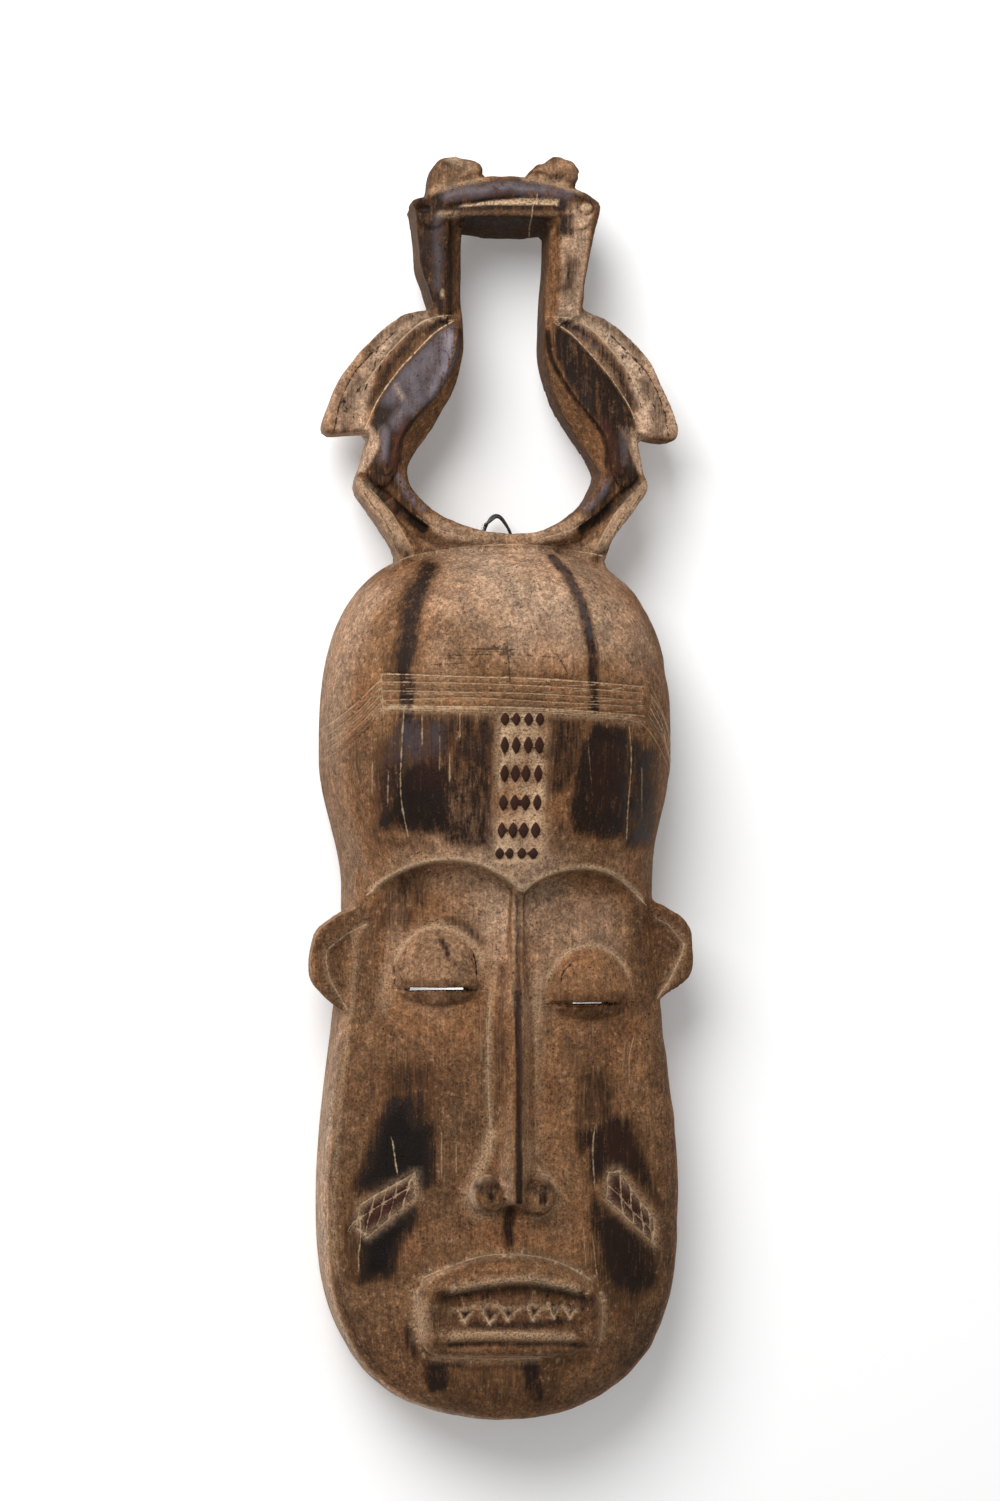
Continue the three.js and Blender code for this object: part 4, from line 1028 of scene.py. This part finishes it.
# Thinned and rubbed places turn greyer or more orange in large soft patches
hue = add("MapRange", {"Value": texture["cloud"], "From Min": 0.4, "From Max": 0.62, "To Max": 0.28})
skin = add("Mix", {0: hue, 6: skin, 7: colour("#8a5f38")}, 2, data_type="RGBA", blend_type="SOFT_LIGHT")

# The patina is worn through along the grain and in flecks, most of all at its edges; where it is polished,
# a grey painted sheen stands in for the lamp's highlight on it, mixed into its colour
worn = 1.0
for name, reach in (("streak", 2.2), ("ragged", 1.9), ("stipple", 2.2), ("grain", 1.8)):
    moved = add("Math", {0: texture[name], 1: 0.5}, operation="SUBTRACT")
    worn = add("Math", {0: moved, 1: reach, 2: worn}, operation="MULTIPLY_ADD")
left = add("Math", {0: surface["patina_and_shade"], 1: worn}, operation="MULTIPLY")
crust_and_shade = add("MapRange", {"Value": left, "From Min": 0.34, "From Max": 0.84, "To Max": 0.97})
painted_sheen_share = add("Math", {0: texture["mottle"], 1: surface["painted_sheen"]}, operation="MULTIPLY")
crust_and_sheen_colour = cover(cover("#030201", "#2a1b13", texture["streak"]), "#82787f", painted_sheen_share, 0.05, 0.6)

# Thin lines of dust, dirt and painted shade, beetle pits in patches, dusting over the worn edges, and the studs
apart = add("Math", {0: surface["line_gap"]}, operation="ABSOLUTE")
apart = add("Math", {0: texture["speck"], 1: 1.6, 2: apart}, operation="MULTIPLY_ADD")
pit = add("TexVoronoi", {"Vector": where, "Scale": 1 / (3.2 * MM)}, "Distance", feature="F1")
line, pit, stud = (
    add("MapRange", {"Value": what, "From Min": low, "From Max": high}, interpolation_type="SMOOTHSTEP")
    for what, low, high in ((apart, 1.22, 0.78), (pit, 0.15, 0.07), (surface["stud"], -0.06, 0.08)))
patchy = add("MapRange", {"Value": texture["ragged"], "From Min": 0.46, "From Max": 0.58})
pit = add("Math", {0: pit, 1: patchy}, operation="MULTIPLY")
dusting = add("MapRange", {"Value": texture["stipple"], "From Min": 0.38, "From Max": 0.6, "To Min": 0.2,
                           "To Max": 1.3})

# Each layer over the bare wood: its colour, what drives it, where that starts and ends, how much it
# covers, and what thins it out
for layer in (
        ("#573517", surface["patina_and_shade"], 0.04, 0.5, 0.7, texture["ragged"]),
        ("#2e1a0c", surface["patina_and_shade"], 0.2, 0.8, 0.58),
        ("#1d140e", texture["stipple"], 0.43, 0.34, 0.85, patchy),
        ("#2a1c12", texture["fibre"], 0.38, 0.28, 0.6, texture["cloud"]),
        ("#b39474", texture["fibre"], 0.6, 0.7, 0.34, texture["mottle"]),
        ("#c2a282", texture["speck"], 0.6, 0.72, 0.5, texture["stipple"]),
        (crust_and_sheen_colour, crust_and_shade), ("#030201", surface["patina_and_shade"], 1, 1.3, 0.75),
        ("#452219", surface["red"], 0.1, 0.9, 1.1, texture["streak"]),
        ("#bfa080", surface["pale"], 0, 1, 0.95, dusting), ("#2c1812", stud, 0, 1, 0.95),
        ("#c9ab89", surface["line_dust_and_shade"], 0, 0.9, 0.9, line),
        ("#150e0a", surface["line_dust_and_shade"], 0, -0.9, 0.95, line),
        ("#160f0b", pit, 0, 1, 0.85)):
    skin = cover(skin, *layer)
tree.links.new(skin, shader["Base Color"])
shader["Specular IOR Level"].default_value = 0.12
rough = add("MapRange", {"Value": crust_and_shade, "From Max": 0.96, "To Min": 0.7, "To Max": 0.36})
rough = add("Math", {0: texture["stipple"], 1: 0.3, 2: rough}, operation="MULTIPLY_ADD")
tree.links.new(rough, shader["Roughness"])
relief = add("Math", {0: line, 1: -0.6}, operation="MULTIPLY")
for name, reach in (("grain", 0.25), ("stipple", 0.9), ("fibre", 0.25), ("speck", 0.5)):
    relief = add("Math", {0: texture[name], 1: reach, 2: relief}, operation="MULTIPLY_ADD")
relief = add("Math", {0: relief, 1: pit}, operation="SUBTRACT")
relief = add("Bump", {"Height": relief, "Strength": 0.8, "Distance": 0.35 * MM})
tree.links.new(relief, shader["Normal"])
mask_mesh.materials.clear()
mask_mesh.materials.append(wood_material)
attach(mask, "root")
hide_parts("mask")

# Hanging wire
# Thin steel wire in a black plastic coat, passed twice through two holes behind the forehead and
# twisted off inside.
WIRE_TOP, WIRE_INSIDE, WIRE_LOW, STRANDS_APART = 115.4, 82, 8.2, 1.7
COAT_START, COAT_RADIUS, CORE_RADIUS = 112.6, 0.6, 0.5


def wire_run(route, steps, radius, name):
    """A round wire of one radius along a smooth route, with closed ends."""
    route = smooth_line(route, steps=steps)
    bpy.ops.object.select_all(action="DESELECT")
    line = bpy.data.curves.new(name, "CURVE")
    line.dimensions = "3D"
    line.bevel_depth = radius * MM
    line.bevel_resolution = 4
    line.use_fill_caps = True
    spline = line.splines.new("POLY")
    spline.points.add(len(route) - 1)
    for point, place in zip(spline.points, route):
        point.co = (*(place * MM), 1)
    made = place_in_scene(name, line)
    bpy.context.view_layer.objects.active = made
    made.select_set(True)
    bpy.ops.object.convert(target="MESH")
    bpy.ops.object.shade_smooth()
    made.select_set(False)
    return made


middle = (WIRE_LEFT + WIRE_RIGHT) / 2
upper = WIRE_LOW + STRANDS_APART
first_turn = [(x, y, WIRE_LOW) for x, y in (
    (WIRE_LEFT + 0.6, WIRE_INSIDE), (WIRE_LEFT + 0.6, WIRE_INSIDE + 12), (WIRE_LEFT + 0.6, WIRE_INSIDE + 24),
    (middle - 3, WIRE_TOP - 2), (middle, WIRE_TOP), (middle + 3, WIRE_TOP - 2), (WIRE_RIGHT, WIRE_INSIDE + 24),
    (WIRE_RIGHT, WIRE_INSIDE + 12), (WIRE_RIGHT, WIRE_INSIDE))] + [(middle, WIRE_INSIDE - 4, WIRE_LOW + 0.5)]
second_turn = [(x, y, upper) for x, y in (
    (WIRE_LEFT + 0.7, COAT_START - 1.6), (middle - 3.4, WIRE_TOP - 3), (middle, WIRE_TOP - 0.8),
    (middle + 3, WIRE_TOP - 3), (WIRE_RIGHT, WIRE_INSIDE + 24), (WIRE_RIGHT, WIRE_INSIDE + 12),
    (WIRE_RIGHT, WIRE_INSIDE))]
coat, strand = [wire_run(turn, 8, COAT_RADIUS, "hanging_wire_coat") for turn in (first_turn, second_turn)]
coat.select_set(True)
strand.select_set(True)
bpy.context.view_layer.objects.active = coat
bpy.ops.object.join()
coat.name = "hanging_wire_coat"

# Black plastic, dull where the wood has scuffed it
coat_material, tree, shader = new_material("black plastic wire coat")
scuffs = add("TexNoise", {"Vector": add("TexCoord", {}, "Object"), "Scale": 900, "Detail": 3}, "Fac")
tree.links.new(cover("#0d0d0f", "#26262a", scuffs, 0.55, 0.75), shader["Base Color"])
tree.links.new(add("MapRange", {"Value": scuffs, "To Min": 0.15, "To Max": 0.5}), shader["Roughness"])
coat.data.materials.clear()
coat.data.materials.append(coat_material)
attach(coat, "root")
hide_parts("hanging_wire")

# Bare wire end
# The steel core of the same wire: at the left hole the coat has slipped up and the bright metal shows.
core = wire_run([(WIRE_LEFT - 1, WIRE_INSIDE, upper), (WIRE_LEFT - 1, WIRE_INSIDE + 14, upper),
                 (WIRE_LEFT - 0.9, COAT_START - 7, upper), (WIRE_LEFT + 0.8, COAT_START - 1, upper)],
                6, CORE_RADIUS, "bare_wire_end")
# Bright drawn steel, with fine marks along it from the die
steel, tree, shader = new_material("bright drawn steel")
shader["Metallic"].default_value = 1
shader["Base Color"].default_value = colour("#b4b4b2")
drawn = add("Mapping", {"Vector": add("TexCoord", {}, "Object"), "Scale": (1, 0.05, 1)})
drawn = add("TexNoise", {"Vector": drawn, "Scale": 4000}, "Fac")
tree.links.new(add("MapRange", {"Value": drawn, "To Min": 0.12, "To Max": 0.4}), shader["Roughness"])
core.data.materials.append(steel)
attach(core, "root")

# Floor and light
# A sheet of bright white paper, one large soft lamp up and to the left, and the white of the studio.
# A small lamp under the mask lights the paper that shows through the eye slits.
bpy.ops.mesh.primitive_plane_add(size=8, location=(0, 0, -0.0004))
floor = bpy.context.object
floor.name = "floor"
paper, tree, shader = new_material("matte white paper")
for name, value in (("Base Color", colour("#f4f4f4")), ("Roughness", 0.9),
                    ("Emission Color", colour("#ffffff")), ("Emission Strength", 0.06)):
    shader[name].default_value = value
floor.data.materials.append(paper)
for name, size, energy, place, aim in (
        ("key", 1.2, 32, (-0.6, 0.95, 1.25), VIEW_AIM),
        ("under the mask", 0.06, 0.02, (0.002, -0.085, 0.026), Vector((0.002, -0.085, 0)))):
    lamp = place_in_scene(name, bpy.data.lights.new(name, "AREA"))
    lamp.data.shape = "DISK"
    lamp.data.size = size
    lamp.data.energy = energy
    lamp.location = place
    lamp.rotation_euler = (Vector(place) - aim).to_track_quat("Z", "Y").to_euler()
    lamp.visible_camera = False
world = bpy.data.worlds.new("studio")
world.use_nodes = True
studio = world.node_tree.nodes["Background"].inputs
studio["Color"].default_value = colour("#ffffff")
studio["Strength"].default_value = 0.5
bpy.context.scene.world = world
bpy.context.scene.view_settings.view_transform = "Standard"
